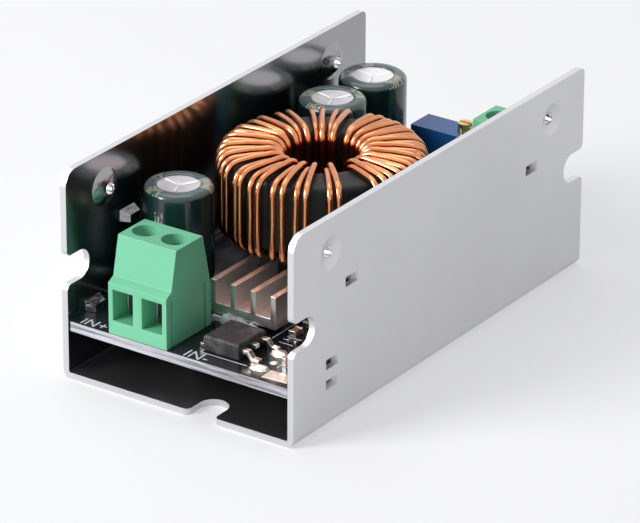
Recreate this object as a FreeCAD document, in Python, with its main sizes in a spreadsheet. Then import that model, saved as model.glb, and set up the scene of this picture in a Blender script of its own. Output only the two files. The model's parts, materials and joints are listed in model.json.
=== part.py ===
import FreeCAD, Part
import math
import os
import re
import Sketcher
from FreeCAD import Placement, Rotation, Vector

# Step-down converter module: a circuit board with its parts, held in a U-shaped
# channel that is folded from one aluminium sheet. Millimetres, +Z up. The origin is
# the middle of the channel's underside. The input end faces -Y, the output end +Y.

SIZES = {
    # channel
    "channel_width": 40.0,
    "channel_length": 75.0,
    "channel_height": 32.0,
    "sheet_thickness": 1.0,
    "bend_radius": 1.3,
    "inner_bend_radius": 0.35,
    "front_corner_radius": 2.4,
    "back_corner_radius": 1.0,
    "slot_width": 4.5,
    "slot_depth": 5.2,
    "slot_lip_radius": 0.9,
    "wall_slot_level": 16.8,
    "base_slot_shift": 4.2,
    "boss_inset": 9.0,
    "boss_level": 26.7,
    "boss_radius": 2.9,
    "boss_rise": 1.15,
    "boss_recess_radius": 2.45,
    "boss_recess_depth": 0.6,
    "boss_hole_radius": 0.95,
    "lance_length": 3.8,
    "lance_height": 1.9,
    "lance_rise": 1.5,
    "lance_tip_inset": 0.75,
    "lance_recess_length": 3.5,
    "lance_recess_height": 1.75,
    "lance_recess_depth": 1.3,
    "upper_lance_inset": 14.2,
    "upper_lance_level": 20.0,
    "left_lance_inset": 5.7,
    "right_lance_inset": 9.5,
    "lance_clearance": 0.05,
    # circuit board
    "board_thickness": 1.6,
    "board_underside": 7.4,
    "board_side_gap": 0.15,
    "board_setback": 0.25,
    "hole_clearance": 0.12,
    "pin_tail": 1.1,
    "solder_spread": 0.45,
    "solder_height": 0.8,
    # terminal blocks
    "pole_pitch": 5.08,
    "block_depth": 10.7,
    "block_height": 14.5,
    "block_lip_level": 7.9,
    "block_ledge_level": 8.6,
    "block_ledge_depth": 1.25,
    "block_top_front": 2.5,
    "block_top_back": 8.8,
    "block_back_level": 6.2,
    "input_block_side": 8.0,
    "output_block_side": 3.45,
    "groove_front": 1.45,
    "groove_back": 9.25,
    "groove_width": 0.35,
    "groove_depth": 0.35,
    "groove_height": 7.2,
    "entry_width": 3.5,
    "entry_height": 4.8,
    "entry_level": 2.2,
    "cage_width": 3.9,
    "cage_depth": 4.6,
    "cage_side": 0.5,
    "cage_floor": 0.8,
    "cage_head": 1.2,
    "cage_window": 5.1,
    "cage_level": 0.9,
    "cage_travel": 3.2,
    "cage_clearance": 0.12,
    "strip_width": 2.5,
    "strip_thickness": 0.8,
    "strip_front": 2.5,
    "strip_leg_depth": 9.4,
    "screw_axis_depth": 5.65,
    "screw_shank_radius": 1.45,
    "screw_clearance": 0.05,
    "screw_head_radius": 1.8,
    "screw_head_height": 1.0,
    "screw_seat_thickness": 0.4,
    "head_bore_radius": 1.95,
    "screw_slot_width": 0.6,
    "screw_slot_depth": 0.7,
    "leg_width": 1.0,
    "pin_radius": 0.4,
    # can capacitors
    "can_radius": 5.0,
    "can_height": 16.6,
    "can_shoulder": 0.7,
    "sleeve_thickness": 0.15,
    "sleeve_rim_radius": 3.1,
    "vent_depth": 0.25,
    "vent_width": 0.4,
    "bung_height": 1.6,
    "can_wall": 0.4,
    "can_lead_pitch": 5.0,
    "can_lead_radius": 0.3,
    "can_side_gap": 1.3,
    "front_can_inset": 17.8,
    "middle_can_inset": 18.5,
    "can_row_pitch": 10.7,
    # ring choke
    "choke_shift_x": 0.0,
    "choke_shift_y": -1.7,
    "choke_gap": 0.3,
    "core_radius": 13.45,
    "core_bore_radius": 7.25,
    "core_height": 11.1,
    "core_round": 0.8,
    "wire_radius": 0.45,
    "wire_air": 0.1,
    "outer_wire_radius": 15.05,
    "inner_wire_radius": 6.65,
    "second_layer_step": 0.95,
    "second_layer_rise": 0.5,
    "outer_turn_bend": 1.3,
    "inner_turn_bend": 0.8,
    # heat sink and the power devices under it
    "sink_width": 11.3,
    "sink_length": 10.4,
    "sink_height": 5.1,
    "sink_base": 1.6,
    "fin_thickness": 0.9,
    "sink_shift": 2.3,
    "sink_front_inset": 12.9,
    "adhesive_thickness": 0.1,
    "adhesive_side_inset": 0.5,
    "adhesive_end_inset": 0.3,
    "bead_length": 7.7,
    "bead_width": 0.6,
    "bead_height": 0.7,
    "transistor_length": 6.0,
    "transistor_width": 5.0,
    "transistor_height": 0.8,
    "transistor_spacing": 5.7,
    # rectifier in a flat tabbed package
    "rectifier_length": 6.1,
    "rectifier_width": 6.6,
    "rectifier_height": 2.3,
    "rectifier_shift": 5.15,
    "rectifier_front_inset": 3.6,
    "rectifier_tab_thickness": 0.6,
    "rectifier_tab_reach": 1.1,
    "rectifier_tab_width": 5.3,
    "rectifier_stub_length": 0.9,
    "rectifier_lead_pitch": 2.285,
    "rectifier_lead_width": 0.9,
    "rectifier_lead_reach": 3.0,
    "rectifier_lead_level": 0.9,
    "moulding_draft": 0.25,
    # trimmer
    "trimmer_length": 9.53,
    "trimmer_width": 4.83,
    "trimmer_height": 10.0,
    "trimmer_room_share": 0.352,
    "trimmer_back_inset": 2.45,
    "trimmer_stand_off": 0.4,
    "trimmer_foot_length": 0.8,
    "trimmer_screw_inset": 1.4,
    "trimmer_screw_radius": 1.1,
    "trimmer_screw_reach": 1.45,
    "trimmer_screw_depth": 3.0,
    "trimmer_slot_width": 0.45,
    "trimmer_slot_depth": 0.7,
    "trimmer_pin_pitch": 2.54,
    "trimmer_pin_radius": 0.25,
    # chips and small parts
    "chip_body_height": 1.5,
    "chip_lead_pitch": 1.27,
    "chip_lead_width": 0.42,
    "chip_lead_thickness": 0.2,
    "chip_lead_reach": 1.05,
    "chip_lead_level": 0.75,
    "chip_side_gap": 1.1,
    "controller_shift": 2.0,
    "amplifier_shift": 15.5,
    "shunt_shift_x": 1.5,
    "shunt_shift_y": 19.5,
    "controller_length": 9.9,
    "controller_width": 3.9,
    "amplifier_length": 4.9,
    "amplifier_width": 3.9,
    "shunt_length": 6.4,
    "shunt_width": 3.2,
    "shunt_height": 0.8,
    "chip_end_share": 0.22,
    "mid_capacitor_length": 2.0,
    "mid_capacitor_width": 1.25,
    "mid_capacitor_height": 0.85,
    "long_capacitor_length": 3.2,
    "long_capacitor_width": 1.6,
    "long_capacitor_height": 1.3,
    "block_capacitor_length": 3.2,
    "block_capacitor_width": 2.5,
    "block_capacitor_height": 1.6,
    "resistor_length": 1.6,
    "resistor_width": 0.8,
    "resistor_height": 0.45,
    # pad between the board and the base
    "gap_pad_start": 0.0,
    "gap_pad_right": 8.5,
    "gap_pad_clearance": 1.4,
}

# Levels and places that follow from the sizes, as formulas over their names.
PLACES = {
    "half_width": "channel_width / 2",
    "half_length": "channel_length / 2",
    "wall_face": "channel_width / 2 - sheet_thickness",
    "board_top": "board_underside + board_thickness",
    "board_half_width": "wall_face - board_side_gap",
    "board_half_length": "half_length - board_setback",
    "block_width": "2 * pole_pitch",
    "input_block_x": "input_block_side + block_width / 2 - half_width",
    "output_block_x": "half_width - output_block_side - block_width / 2",
    "strip_level": "cage_level + cage_floor + cage_window - strip_thickness - cage_clearance",
    "strip_top": "strip_level + strip_thickness",
    "cage_height": "cage_floor + cage_window + cage_head",
    "chamber_top": "cage_level + cage_height + cage_travel + cage_clearance",
    "screw_seat_top": "chamber_top + screw_seat_thickness",
    "can_x": "can_side_gap + sleeve_radius - board_half_width",
    "front_can_y": "front_can_inset - half_length",
    "middle_can_y": "half_length - middle_can_inset",
    "back_can_y": "middle_can_y + can_row_pitch",
    "sleeve_radius": "can_radius + sleeve_thickness",
    "sink_x": "sink_shift",
    "sink_y": "sink_front_inset + sink_length / 2 - half_length",
    "sink_underside": "board_top + transistor_height + adhesive_thickness",
    "sink_top": "sink_underside + sink_height",
    "turns_underside": "sink_top + choke_gap",
    "core_underside": "turns_underside + 2 * wire_radius + wire_air",
    "core_top": "core_underside + core_height",
    "rectifier_x": "rectifier_shift",
    "rectifier_y": "rectifier_front_inset + rectifier_width / 2 - half_length",
    "trimmer_room": "output_block_x - block_width / 2 - can_x - sleeve_radius - trimmer_length",
    "trimmer_x": "can_x + sleeve_radius + trimmer_room_share * trimmer_room + trimmer_length / 2",
    "trimmer_y": "half_length - trimmer_back_inset - trimmer_width / 2",
    "trimmer_screw_x": "trimmer_x + trimmer_length / 2 - trimmer_screw_inset",
    "controller_x": "board_half_width - chip_side_gap - chip_lead_reach - controller_width / 2",
    "controller_y": "sink_y + controller_shift",
    "amplifier_x": "board_half_width - chip_side_gap - chip_lead_reach - amplifier_width / 2",
    "amplifier_y": "choke_shift_y + amplifier_shift",
    "shunt_x": "choke_shift_x + shunt_shift_x",
    "shunt_y": "choke_shift_y + shunt_shift_y",
    "controller_leads_x": "controller_x - controller_width / 2 - chip_lead_reach",
    "column_x": "(sink_x + sink_width / 2 + controller_leads_x) / 2",
    "output_block_back": "board_half_length - block_depth",
}

# Small parts soldered at both ends: the kind, then the place on X and on Y that it keeps
# its distance from, with that distance, and the axis that its length runs along.
SMALL_PARTS = [
    ("mid_capacitor", "column_x", 0, "controller_y", -4.9, "y"),
    ("mid_capacitor", "column_x", 0, "controller_y", -1.4, "y"),
    ("mid_capacitor", "amplifier_x", 1.5, "output_block_back", -5.6, "x"),
    ("mid_capacitor", "amplifier_x", -2.6, "output_block_back", -4.0, "x"),
    ("long_capacitor", "board_half_width", -3.2, "-board_half_length", 6.2, "x"),
    ("block_capacitor", "can_x", 0, "choke_shift_y", 6.0, "x"),
    ("block_capacitor", "trimmer_x", -1.4, "trimmer_y", -5.2, "x"),
    ("resistor", "board_half_width", -2.5, "-board_half_length", 9.8, "x"),
    ("resistor", "board_half_width", -5.0, "-board_half_length", 9.8, "x"),
    ("resistor", "board_half_width", -2.5, "-board_half_length", 12.0, "x"),
    ("resistor", "column_x", 1.2, "controller_y", -7.4, "x"),
    ("resistor", "column_x", 0, "controller_y", 1.6, "y"),
    ("resistor", "amplifier_x", 1.5, "output_block_back", -3.4, "x"),
    ("resistor", "shunt_x", 7.0, "shunt_y", -2.8, "x"),
    ("resistor", "shunt_x", 7.0, "shunt_y", -0.4, "x"),
    ("resistor", "trimmer_x", -1.8, "trimmer_y", -7.6, "x"),
]
for index, (_, x_from, x_shift, y_from, y_shift, _) in enumerate(SMALL_PARTS):
    for axis, start, shift in (("x", x_from, x_shift), ("y", y_from, y_shift)):
        size = "part_%s_shift_%s" % (chr(ord("a") + index), axis)
        SIZES[size] = shift
        PLACES[size.replace("shift", "at")] = "%s + %s" % (start, size)

# Angles in degrees at which the turns stand round the core, seen from above and
# counted from +X, one copper strand and then the other in turn.
FIRST_CLUSTER_START = -23.5
FIRST_CLUSTER_STEP = 6.5
FIRST_CLUSTER_TURNS = 19
REAR_TURNS = (109.0, 115.5, 124.5, 131.5)
REAR_LEFT_TURNS = (145.5, 152.5, 164.5, 171.5)
LEFT_CLUSTER_START = 182.5
LEFT_CLUSTER_STEP = 7.1
LEFT_CLUSTER_TURNS = 9
FRONT_TURNS = (249.5, 253.5, 261.5, 267.5, 276.5, 282.6, 290.5, 296.1, 309.1, 313.8)
WIRE_FACETS = 6
FIN_COUNT = 4
PIN_SIDES = 6

doc = FreeCAD.newDocument("converter_module")
sheet = doc.addObject("Spreadsheet::Sheet", "Sizes")
for row, (name, size) in enumerate(SIZES.items(), start=1):
    sheet.set("A%d" % row, name)
    sheet.set("B%d" % row, str(size))
    sheet.setAlias("B%d" % row, name)
doc.recompute()

nodes = []
soldered_pins = []


def rule(text):
    """A formula over the names above as an expression on the sheet's cells."""
    def cell(match):
        word = match.group(0)
        if word in PLACES:
            return "(" + rule(PLACES[word]) + ")"
        return "Sizes." + word if word in SIZES else word
    return re.sub(r"[a-z_]+", cell, str(text))


def number(text):
    """The number that a formula gives."""
    return float(sheet.evalExpression(rule(text)))


def node(label, piece):
    """Names a finished piece and keeps it for the export."""
    piece.Label = label
    nodes.append(piece)
    return piece


AXES = {
    "+z": Rotation(),
    "+x": Rotation(Vector(0, 1, 0), 90),
    "-x": Rotation(Vector(0, 1, 0), -90),
    "+y": Rotation(Vector(1, 0, 0), -90),
}


def place(piece, at, axis="+z"):
    """Puts a piece at three formulas, turned so that its own Z runs along the axis."""
    piece.Placement = Placement(Vector(), AXES[axis])
    for letter, text in zip("xyz", at):
        piece.setExpression("Placement.Base." + letter, rule(text))


def box(name, size, low):
    """A block of the given size, from its low corner."""
    block = doc.addObject("Part::Box", name)
    for side, text in zip(("Length", "Width", "Height"), size):
        block.setExpression(side, rule(text))
    place(block, low)
    return block


def centred_box(name, size, middle, low_z):
    """A block centred on x and y, standing on a level."""
    low_x = "%s - (%s) / 2" % (middle[0], size[0])
    low_y = "%s - (%s) / 2" % (middle[1], size[1])
    return box(name, size, (low_x, low_y, low_z))


def cylinder(name, radius, height, at, axis="+z"):
    round_bar = doc.addObject("Part::Cylinder", name)
    round_bar.setExpression("Radius", rule(radius))
    round_bar.setExpression("Height", rule(height))
    place(round_bar, at, axis)
    return round_bar


def side_formula(side, text):
    """The same distance from the middle plane, on the left (-1) or on the right (+1)."""
    return "%d * (%s)" % (side, text)


def dome(name, foot_radius, rise, face, over, along, level, side):
    """A cap that rises inward from a wall's face, and starts a little outside that face."""
    ball = "(((%s) ^ 2 + (%s) ^ 2) / (2 * (%s)))" % (foot_radius, rise, rise)
    cap = doc.addObject("Part::Sphere", name)
    cap.setExpression("Radius", rule(ball))
    cap.setExpression("Angle1", rule("asin(1 - (%s + %s) / %s)" % (rise, over, ball)))
    centre = side_formula(side, "%s - (%s) + %s" % (face, rise, ball))
    place(cap, (centre, along, level), "-x" if side > 0 else "+x")
    return cap


def rod(name, sides, radius, height, at):
    """An upright many-sided bar whose flats lie at the given radius."""
    bar = doc.addObject("Part::Prism", name)
    bar.Polygon = sides
    bar.setExpression("Circumradius", rule("(%s) * %.6f" % (radius, 1 / math.cos(math.pi / sides))))
    bar.setExpression("Height", rule(height))
    place(bar, at)
    return bar


def fused(name, pieces):
    whole = doc.addObject("Part::MultiFuse", name)
    whole.Shapes = pieces
    return whole


def cut(name, base, tools):
    whole = doc.addObject("Part::Cut", name)
    whole.Base = base
    whole.Tool = tools[0] if len(tools) == 1 else fused(name + "_tools", tools)
    return whole


def group(name, pieces):
    """Separate solids that share one node."""
    together = doc.addObject("Part::Compound", name)
    together.Links = pieces
    return together


def outline(body, name, plane, corners, lift="0"):
    """A closed sketch of straight lines, each corner held by two formulas."""
    sketch = body.newObject("Sketcher::SketchObject", name)
    for feature in body.Origin.OriginFeatures:
        if feature.Role == plane:
            sketch.AttachmentSupport = [(feature, "")]
    sketch.MapMode = "FlatFace"
    sketch.setExpression("AttachmentOffset.Base.z", rule(lift))
    spots = [Vector(number(x), number(y), 0) for x, y in corners]
    count = len(corners)
    for i in range(count):
        sketch.addGeometry(Part.LineSegment(spots[i], spots[(i + 1) % count]))
    for i in range(count):
        sketch.addConstraint(Sketcher.Constraint("Coincident", i, 2, (i + 1) % count, 1))
    for i, (x, y) in enumerate(corners):
        for kind, text, size in (("DistanceX", x, spots[i].x), ("DistanceY", y, spots[i].y)):
            index = sketch.addConstraint(Sketcher.Constraint(kind, -1, 1, i, 1, size))
            sketch.setExpression("Constraints[%d]" % index, rule(text))
    return sketch


def rectangle(low_x, low_y, high_x, high_y):
    return [(low_x, low_y), (high_x, low_y), (high_x, high_y), (low_x, high_y)]


def pad(body, sketch, length, midplane=False, reverse=False):
    feature = body.newObject("PartDesign::Pad", sketch.Name + "_pad")
    feature.Profile = sketch
    feature.setExpression("Length", rule(length))
    feature.Midplane = midplane
    feature.Reversed = reverse
    return feature


def pocket(body, sketch, length):
    """A cut that runs the same way on both sides of its sketch, and must remove metal."""
    before = body.Shape.Volume
    feature = body.newObject("PartDesign::Pocket", sketch.Name + "_pocket")
    feature.Profile = sketch
    feature.setExpression("Length", rule(length))
    feature.Midplane = True
    doc.recompute()
    if body.Shape.Volume >= before:
        raise ValueError("pocket cuts nothing: " + sketch.Name)
    return feature


def straight_edges(shape, axis, spots):
    """Names of the edges along an axis that cross the other two axes at one of the spots."""
    others = [i for i in range(3) if i != axis]
    found = []
    for index, edge in enumerate(shape.Edges, start=1):
        first, last = edge.Vertexes[0].Point, edge.Vertexes[-1].Point
        if abs(first[others[0]] - last[others[0]]) + abs(first[others[1]] - last[others[1]]) > 0.001:
            continue
        for spot in spots:
            if abs(first[others[0]] - spot[0]) + abs(first[others[1]] - spot[1]) < 0.002:
                found.append("Edge%d" % index)
    return found


def rounded(body, name, radius, axis, spots, kind="Fillet"):
    """Rounds or bevels the straight edges of a body that cross at the given spots."""
    doc.recompute()
    names = straight_edges(body.Shape, axis, [(number(a), number(b)) for a, b in spots])
    if not names:
        raise ValueError("no edge to round: " + name)
    before = body.Tip
    feature = body.newObject("PartDesign::" + kind, name)
    feature.Base = (before, names)
    feature.setExpression("Radius" if kind == "Fillet" else "Size", rule(radius))
    body.Tip = feature
    doc.recompute()
    return feature


# Channel: one sheet folded into a U, with open slots at both ends, four domed screw
# bosses and eight tapered bumps, sheared open on the side that holds something.

def make_sheet():
    body = doc.addObject("PartDesign::Body", "channel_sheet")
    section = outline(body, "channel_section", "XZ_Plane", [
        ("-half_width", "0"), ("half_width", "0"),
        ("half_width", "channel_height"), ("wall_face", "channel_height"),
        ("wall_face", "sheet_thickness"), ("-wall_face", "sheet_thickness"),
        ("-wall_face", "channel_height"), ("-half_width", "channel_height"),
    ])
    pad(body, section, "channel_length", midplane=True)
    rounded(body, "outer_bends", "bend_radius", 1,
            [("-half_width", "0"), ("half_width", "0")])
    rounded(body, "inner_bends", "inner_bend_radius", 1,
            [("-wall_face", "sheet_thickness"), ("wall_face", "sheet_thickness")])
    slot_low = "wall_slot_level - slot_width / 2"
    slot_high = "wall_slot_level + slot_width / 2"
    base_low = "base_slot_shift - slot_width / 2"
    base_high = "base_slot_shift + slot_width / 2"
    for end, sign in (("front", "-"), ("back", "")):
        mouth = sign + "(half_length + slot_depth)"
        floor = sign + "(half_length - slot_depth)"
        wall_slot = outline(body, end + "_wall_slot", "YZ_Plane",
                            rectangle(mouth, slot_low, floor, slot_high))
        pocket(body, wall_slot, "2 * channel_width")
        base_slot = outline(body, end + "_base_slot", "XY_Plane",
                            rectangle(base_low, mouth, base_high, floor))
        pocket(body, base_slot, "4 * sheet_thickness")
        rim = sign + "half_length"
        slot_round = "0.49 * slot_width"
        rounded(body, end + "_wall_slot_end", slot_round, 0, [(floor, slot_low), (floor, slot_high)])
        rounded(body, end + "_base_slot_end", slot_round, 2, [(base_low, floor), (base_high, floor)])
        rounded(body, end + "_wall_slot_lips", "slot_lip_radius", 0, [(rim, slot_low), (rim, slot_high)])
        rounded(body, end + "_base_slot_lips", "slot_lip_radius", 2, [(base_low, rim), (base_high, rim)])
        rounded(body, end + "_corners", end + "_corner_radius", 0, [(rim, "channel_height")])
    return body


def lance(name, side, along, level, way):
    """The metal and the hollow of a tapered bump, sheared open on its flat side at a level."""
    halves = []
    over = "sheet_thickness / 2"
    for label, kind, rise, face in (("metal", "lance", "lance_rise", "wall_face"),
                                    ("hollow", "lance_recess", "lance_recess_depth", "half_width")):
        bump = doc.addObject("Part::Wedge", "%s_%s" % (name, label))
        half, height = kind + "_length / 2", kind + "_height"
        for prop, text in (
                ("Xmin", "-" + half), ("Xmax", half),
                ("X2min", "lance_tip_inset - " + half), ("X2max", half + " - lance_tip_inset"),
                ("Ymin", "0"), ("Ymax", "%s + %s" % (rise, over)),
                ("Zmin", "0" if way > 0 else "-" + height),
                ("Zmax", height if way > 0 else "0"),
                ("Z2min", "0" if way > 0 else "lance_tip_inset - " + height),
                ("Z2max", height + " - lance_tip_inset" if way > 0 else "0")):
            bump.setExpression(prop, rule(text))
        bump.Placement = Placement(Vector(), Rotation(Vector(0, 0, 1), 90 * side))
        for letter, text in zip("xyz", (side_formula(side, "%s + %s" % (face, over)), along, level)):
            bump.setExpression("Placement.Base." + letter, rule(text))
        halves.append(bump)
    return halves


def make_channel():
    raised, pressed = [], []
    bosses = [("front", "boss_inset - half_length"), ("back", "half_length - boss_inset")]
    for side, hand in ((-1, "left"), (1, "right")):
        board_lance = hand + "_lance_inset - half_length"
        lances = [
            ("board_top", board_lance, "board_top + lance_clearance", 1),
            ("board_under", board_lance, "board_underside - lance_clearance", -1),
            ("upper_front", "upper_lance_inset - half_length", "upper_lance_level", 1),
            ("upper_back", "half_length - upper_lance_inset", "upper_lance_level", 1),
        ]
        for name, along, level, way in lances:
            metal, hollow = lance("%s_%s" % (hand, name), side, along, level, way)
            raised.append(metal)
            pressed.append(hollow)
        for end, along in bosses:
            name = "%s_%s_boss" % (hand, end)
            raised.append(dome(name, "boss_radius", "boss_rise", "wall_face",
                               "sheet_thickness / 2", along, "boss_level", side))
            pressed.append(dome(name + "_recess", "boss_recess_radius", "boss_recess_depth",
                                "half_width", "sheet_thickness / 2", along, "boss_level", side))
            pressed.append(cylinder(name + "_hole", "boss_hole_radius",
                                    "boss_rise + 4 * sheet_thickness",
                                    (side_formula(side, "half_width + sheet_thickness"), along,
                                     "boss_level"), "-x" if side > 0 else "+x"))
    formed = fused("formed_sheet", [make_sheet()] + raised)
    return node("channel", cut("channel_whole", formed, pressed))


# Circuit board: a plate that fits between the walls, drilled for every soldered pin.

def make_board():
    body = doc.addObject("PartDesign::Body", "board_plate")
    plan = outline(body, "board_plan", "XY_Plane",
                   rectangle("-board_half_width", "-board_half_length",
                             "board_half_width", "board_half_length"), "board_underside")
    pad(body, plan, "board_thickness")
    holes = []
    for index, (x, y, radius) in enumerate(soldered_pins):
        holes.append(rod("board_hole_%d" % index, 12, radius + " + hole_clearance",
                         "3 * board_thickness", (x, y, "board_underside - board_thickness")))
    return node("circuit_board", cut("board_drilled", body, holes))


def shared_joints():
    """Pins in groups: two that stand closer than their solder spreads share one joint."""
    groups = []
    for x, y, radius in soldered_pins:
        here = Vector(number(x), number(y), 0)
        reach = number("%s + solder_spread" % radius)
        for group_pins in groups:
            if any((here - spot).Length < 1.45 * (reach + other) for spot, other, _ in group_pins):
                group_pins.append((here, reach, (x, y, radius)))
                break
        else:
            groups.append([(here, reach, (x, y, radius))])
    return [[pin for _, _, pin in group_pins] for group_pins in groups]


def make_solder():
    """A small heap of solder round each pin, under the board."""
    joints = []
    for index, pins in enumerate(shared_joints()):
        name = "joint_%d" % index
        heaps, bores = [], []
        for turn, (x, y, radius) in enumerate(pins):
            heap = doc.addObject("Part::Wedge", "%s_heap_%d" % (name, turn))
            for prop, text in (("Xmin", "-"), ("Zmin", "-"), ("Xmax", ""), ("Zmax", "")):
                heap.setExpression(prop, rule(text + "(%s + 0.4 * solder_spread)" % radius))
                heap.setExpression(prop[0] + "2" + prop[1:],
                                   rule(text + "(%s + solder_spread)" % radius))
            heap.setExpression("Ymin", rule("0"))
            heap.setExpression("Ymax", rule("solder_height"))
            heap.Placement = Placement(Vector(), Rotation(Vector(1, 0, 0), 90))
            heap.setExpression("Placement.Base.x", rule(x))
            heap.setExpression("Placement.Base.y", rule(y))
            heap.setExpression("Placement.Base.z", rule("board_underside - solder_height"))
            heaps.append(heap)
            bores.append(rod("%s_bore_%d" % (name, turn), PIN_SIDES, radius, "3 * solder_height",
                             (x, y, "board_underside - 2 * solder_height")))
        whole = heaps[0] if len(heaps) == 1 else fused(name + "_heaps", heaps)
        joints.append(cut(name + "_ring", whole, bores))
    return node("solder_joints", group("solder_group", joints))


# Terminal blocks: a tapered housing with a chamber for each pole. A screw that can't
# rise or fall lifts a cage, which clamps the wire up against a fixed contact strip.

def make_terminal(kind, block_x, front):
    """One block. Its wire entries face -Y on the input (front -1) and +Y on the output (+1)."""
    def depth(text):
        """A distance in from the block's front face, as a place on Y."""
        return side_formula(front, "board_half_length - (%s)" % text)

    def deep_box(name, width, x, near, far, low, high):
        """A block between two depths and two heights above the board."""
        low_depth, high_depth = (near, far) if front < 0 else (far, near)
        return box(name, (width, "(%s) - (%s)" % (far, near), "(%s) - (%s)" % (high, low)),
                   ("%s - (%s) / 2" % (x, width), depth(low_depth), "board_top + %s" % low))

    body = doc.addObject("PartDesign::Body", kind + "_block")
    profile = [
        ("0", "0"), ("0", "block_lip_level"), ("block_ledge_depth", "block_ledge_level"),
        ("block_top_front", "block_height"), ("block_top_back", "block_height"),
        ("block_depth", "block_back_level"), ("block_depth", "0"),
    ]
    side_view = outline(body, kind + "_block_profile", "YZ_Plane",
                        [(depth(v), "board_top + " + w) for v, w in profile],
                        "%s - block_width / 2" % block_x)
    pad(body, side_view, "block_width")
    hollows, screws, cages, strips = [], [], [], []
    for pole, shift in (("left", "-pole_pitch / 2"), ("right", "+ pole_pitch / 2")):
        x = "%s %s" % (block_x, shift)
        name = "%s_%s" % (kind, pole)
        axis_y = depth("screw_axis_depth")
        chamber_near = "screw_axis_depth - cage_depth / 2 - cage_clearance"
        chamber_far = "screw_axis_depth + cage_depth / 2 + cage_clearance"
        hollows += [
            deep_box(name + "_chamber", "cage_width + 2 * cage_clearance", x,
                     chamber_near, chamber_far, "-board_thickness", "chamber_top"),
            deep_box(name + "_entry", "entry_width", x, "-1", "screw_axis_depth",
                     "entry_level", "entry_level + entry_height"),
            deep_box(name + "_strip_seat", "strip_width", x, "strip_front",
                     "strip_leg_depth + strip_thickness / 2", "strip_level", "strip_top"),
            deep_box(name + "_leg_seat", "leg_width", x,
                     "strip_leg_depth - strip_thickness / 2",
                     "strip_leg_depth + strip_thickness / 2", "-board_thickness", "strip_top"),
            cylinder(name + "_shank_bore", "screw_shank_radius + 2 * screw_clearance",
                     "2 * block_height", (x, axis_y, "board_top")),
            cylinder(name + "_head_bore", "head_bore_radius", "block_height",
                     (x, axis_y, "board_top + screw_seat_top")),
        ]
        strip = fused(name + "_strip", [
            deep_box(name + "_bar", "strip_width", x, "strip_front",
                     "strip_leg_depth + strip_thickness / 2", "strip_level", "strip_top"),
            deep_box(name + "_leg", "leg_width", x,
                     "strip_leg_depth - strip_thickness / 2",
                     "strip_leg_depth + strip_thickness / 2", "0", "strip_top"),
            rod(name + "_pin", PIN_SIDES, "pin_radius", "board_thickness + pin_tail",
                (x, depth("strip_leg_depth"), "board_underside - pin_tail")),
        ])
        strips.append(strip)
        soldered_pins.append((x, depth("strip_leg_depth"), "pin_radius"))
        shank_low = "board_top + strip_top + screw_clearance"
        head_low = "board_top + screw_seat_top + screw_clearance"
        blank = fused(name + "_screw_blank", [
            cylinder(name + "_shank", "screw_shank_radius",
                     "screw_seat_top - strip_top + screw_head_height / 2", (x, axis_y, shank_low)),
            cylinder(name + "_head", "screw_head_radius", "screw_head_height",
                     (x, axis_y, head_low)),
        ])
        slot = centred_box(name + "_slot", ("4 * screw_head_radius", "screw_slot_width",
                                            "2 * screw_slot_depth"), (x, axis_y),
                           "%s + screw_head_height - screw_slot_depth" % head_low)
        screws.append(cut(name + "_screw", blank, [slot]))
        block = centred_box(name + "_cage_block", ("cage_width", "cage_depth", "cage_height"),
                            (x, axis_y), "board_top + cage_level")
        window = centred_box(name + "_window",
                             ("cage_width - 2 * cage_side", "2 * cage_depth", "cage_window"),
                             (x, axis_y), "board_top + cage_level + cage_floor")
        thread = cylinder(name + "_thread", "screw_shank_radius + screw_clearance", "cage_height",
                          (x, axis_y, "board_top + cage_level + cage_floor + cage_window / 2"))
        cages.append(cut(name + "_cage", block, [window, thread]))
    for side in (-1, 1):
        edge = "%s + %d * block_width / 2" % (block_x, side)
        for groove in ("groove_front", "groove_back"):
            hollows.append(deep_box("%s_%s_%d" % (kind, groove, side), "2 * groove_depth", edge,
                                    groove + " - groove_width / 2", groove + " + groove_width / 2",
                                    "-board_thickness", "groove_height"))
    housing = node(kind + "_terminal_housing", cut(kind + "_housing", body, hollows))
    for pole, screw, cage in zip(("left", "right"), screws, cages):
        node("%s_%s_clamp_screw" % (kind, pole), screw)
        node("%s_%s_clamp_cage" % (kind, pole), cage)
    node(kind + "_contact_strips", group(kind + "_strips", strips))
    return housing


# Can capacitors: an aluminium can with a scored top and a rolled groove, a shrunk
# sleeve that folds over its shoulder, a rubber bung and two leads.

def turned(name, corners, x, y):
    """A body of revolution about the upright line through x and y."""
    body = doc.addObject("PartDesign::Body", name)
    section = outline(body, name + "_section", "XZ_Plane", corners)
    spin = body.newObject("PartDesign::Revolution", name + "_turn")
    spin.Profile = section
    spin.ReferenceAxis = (section, ["V_Axis"])
    spin.Angle = 360.0
    doc.recompute()
    body.setExpression("Placement.Base.x", rule(x))
    body.setExpression("Placement.Base.y", rule(y))
    return body


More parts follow.
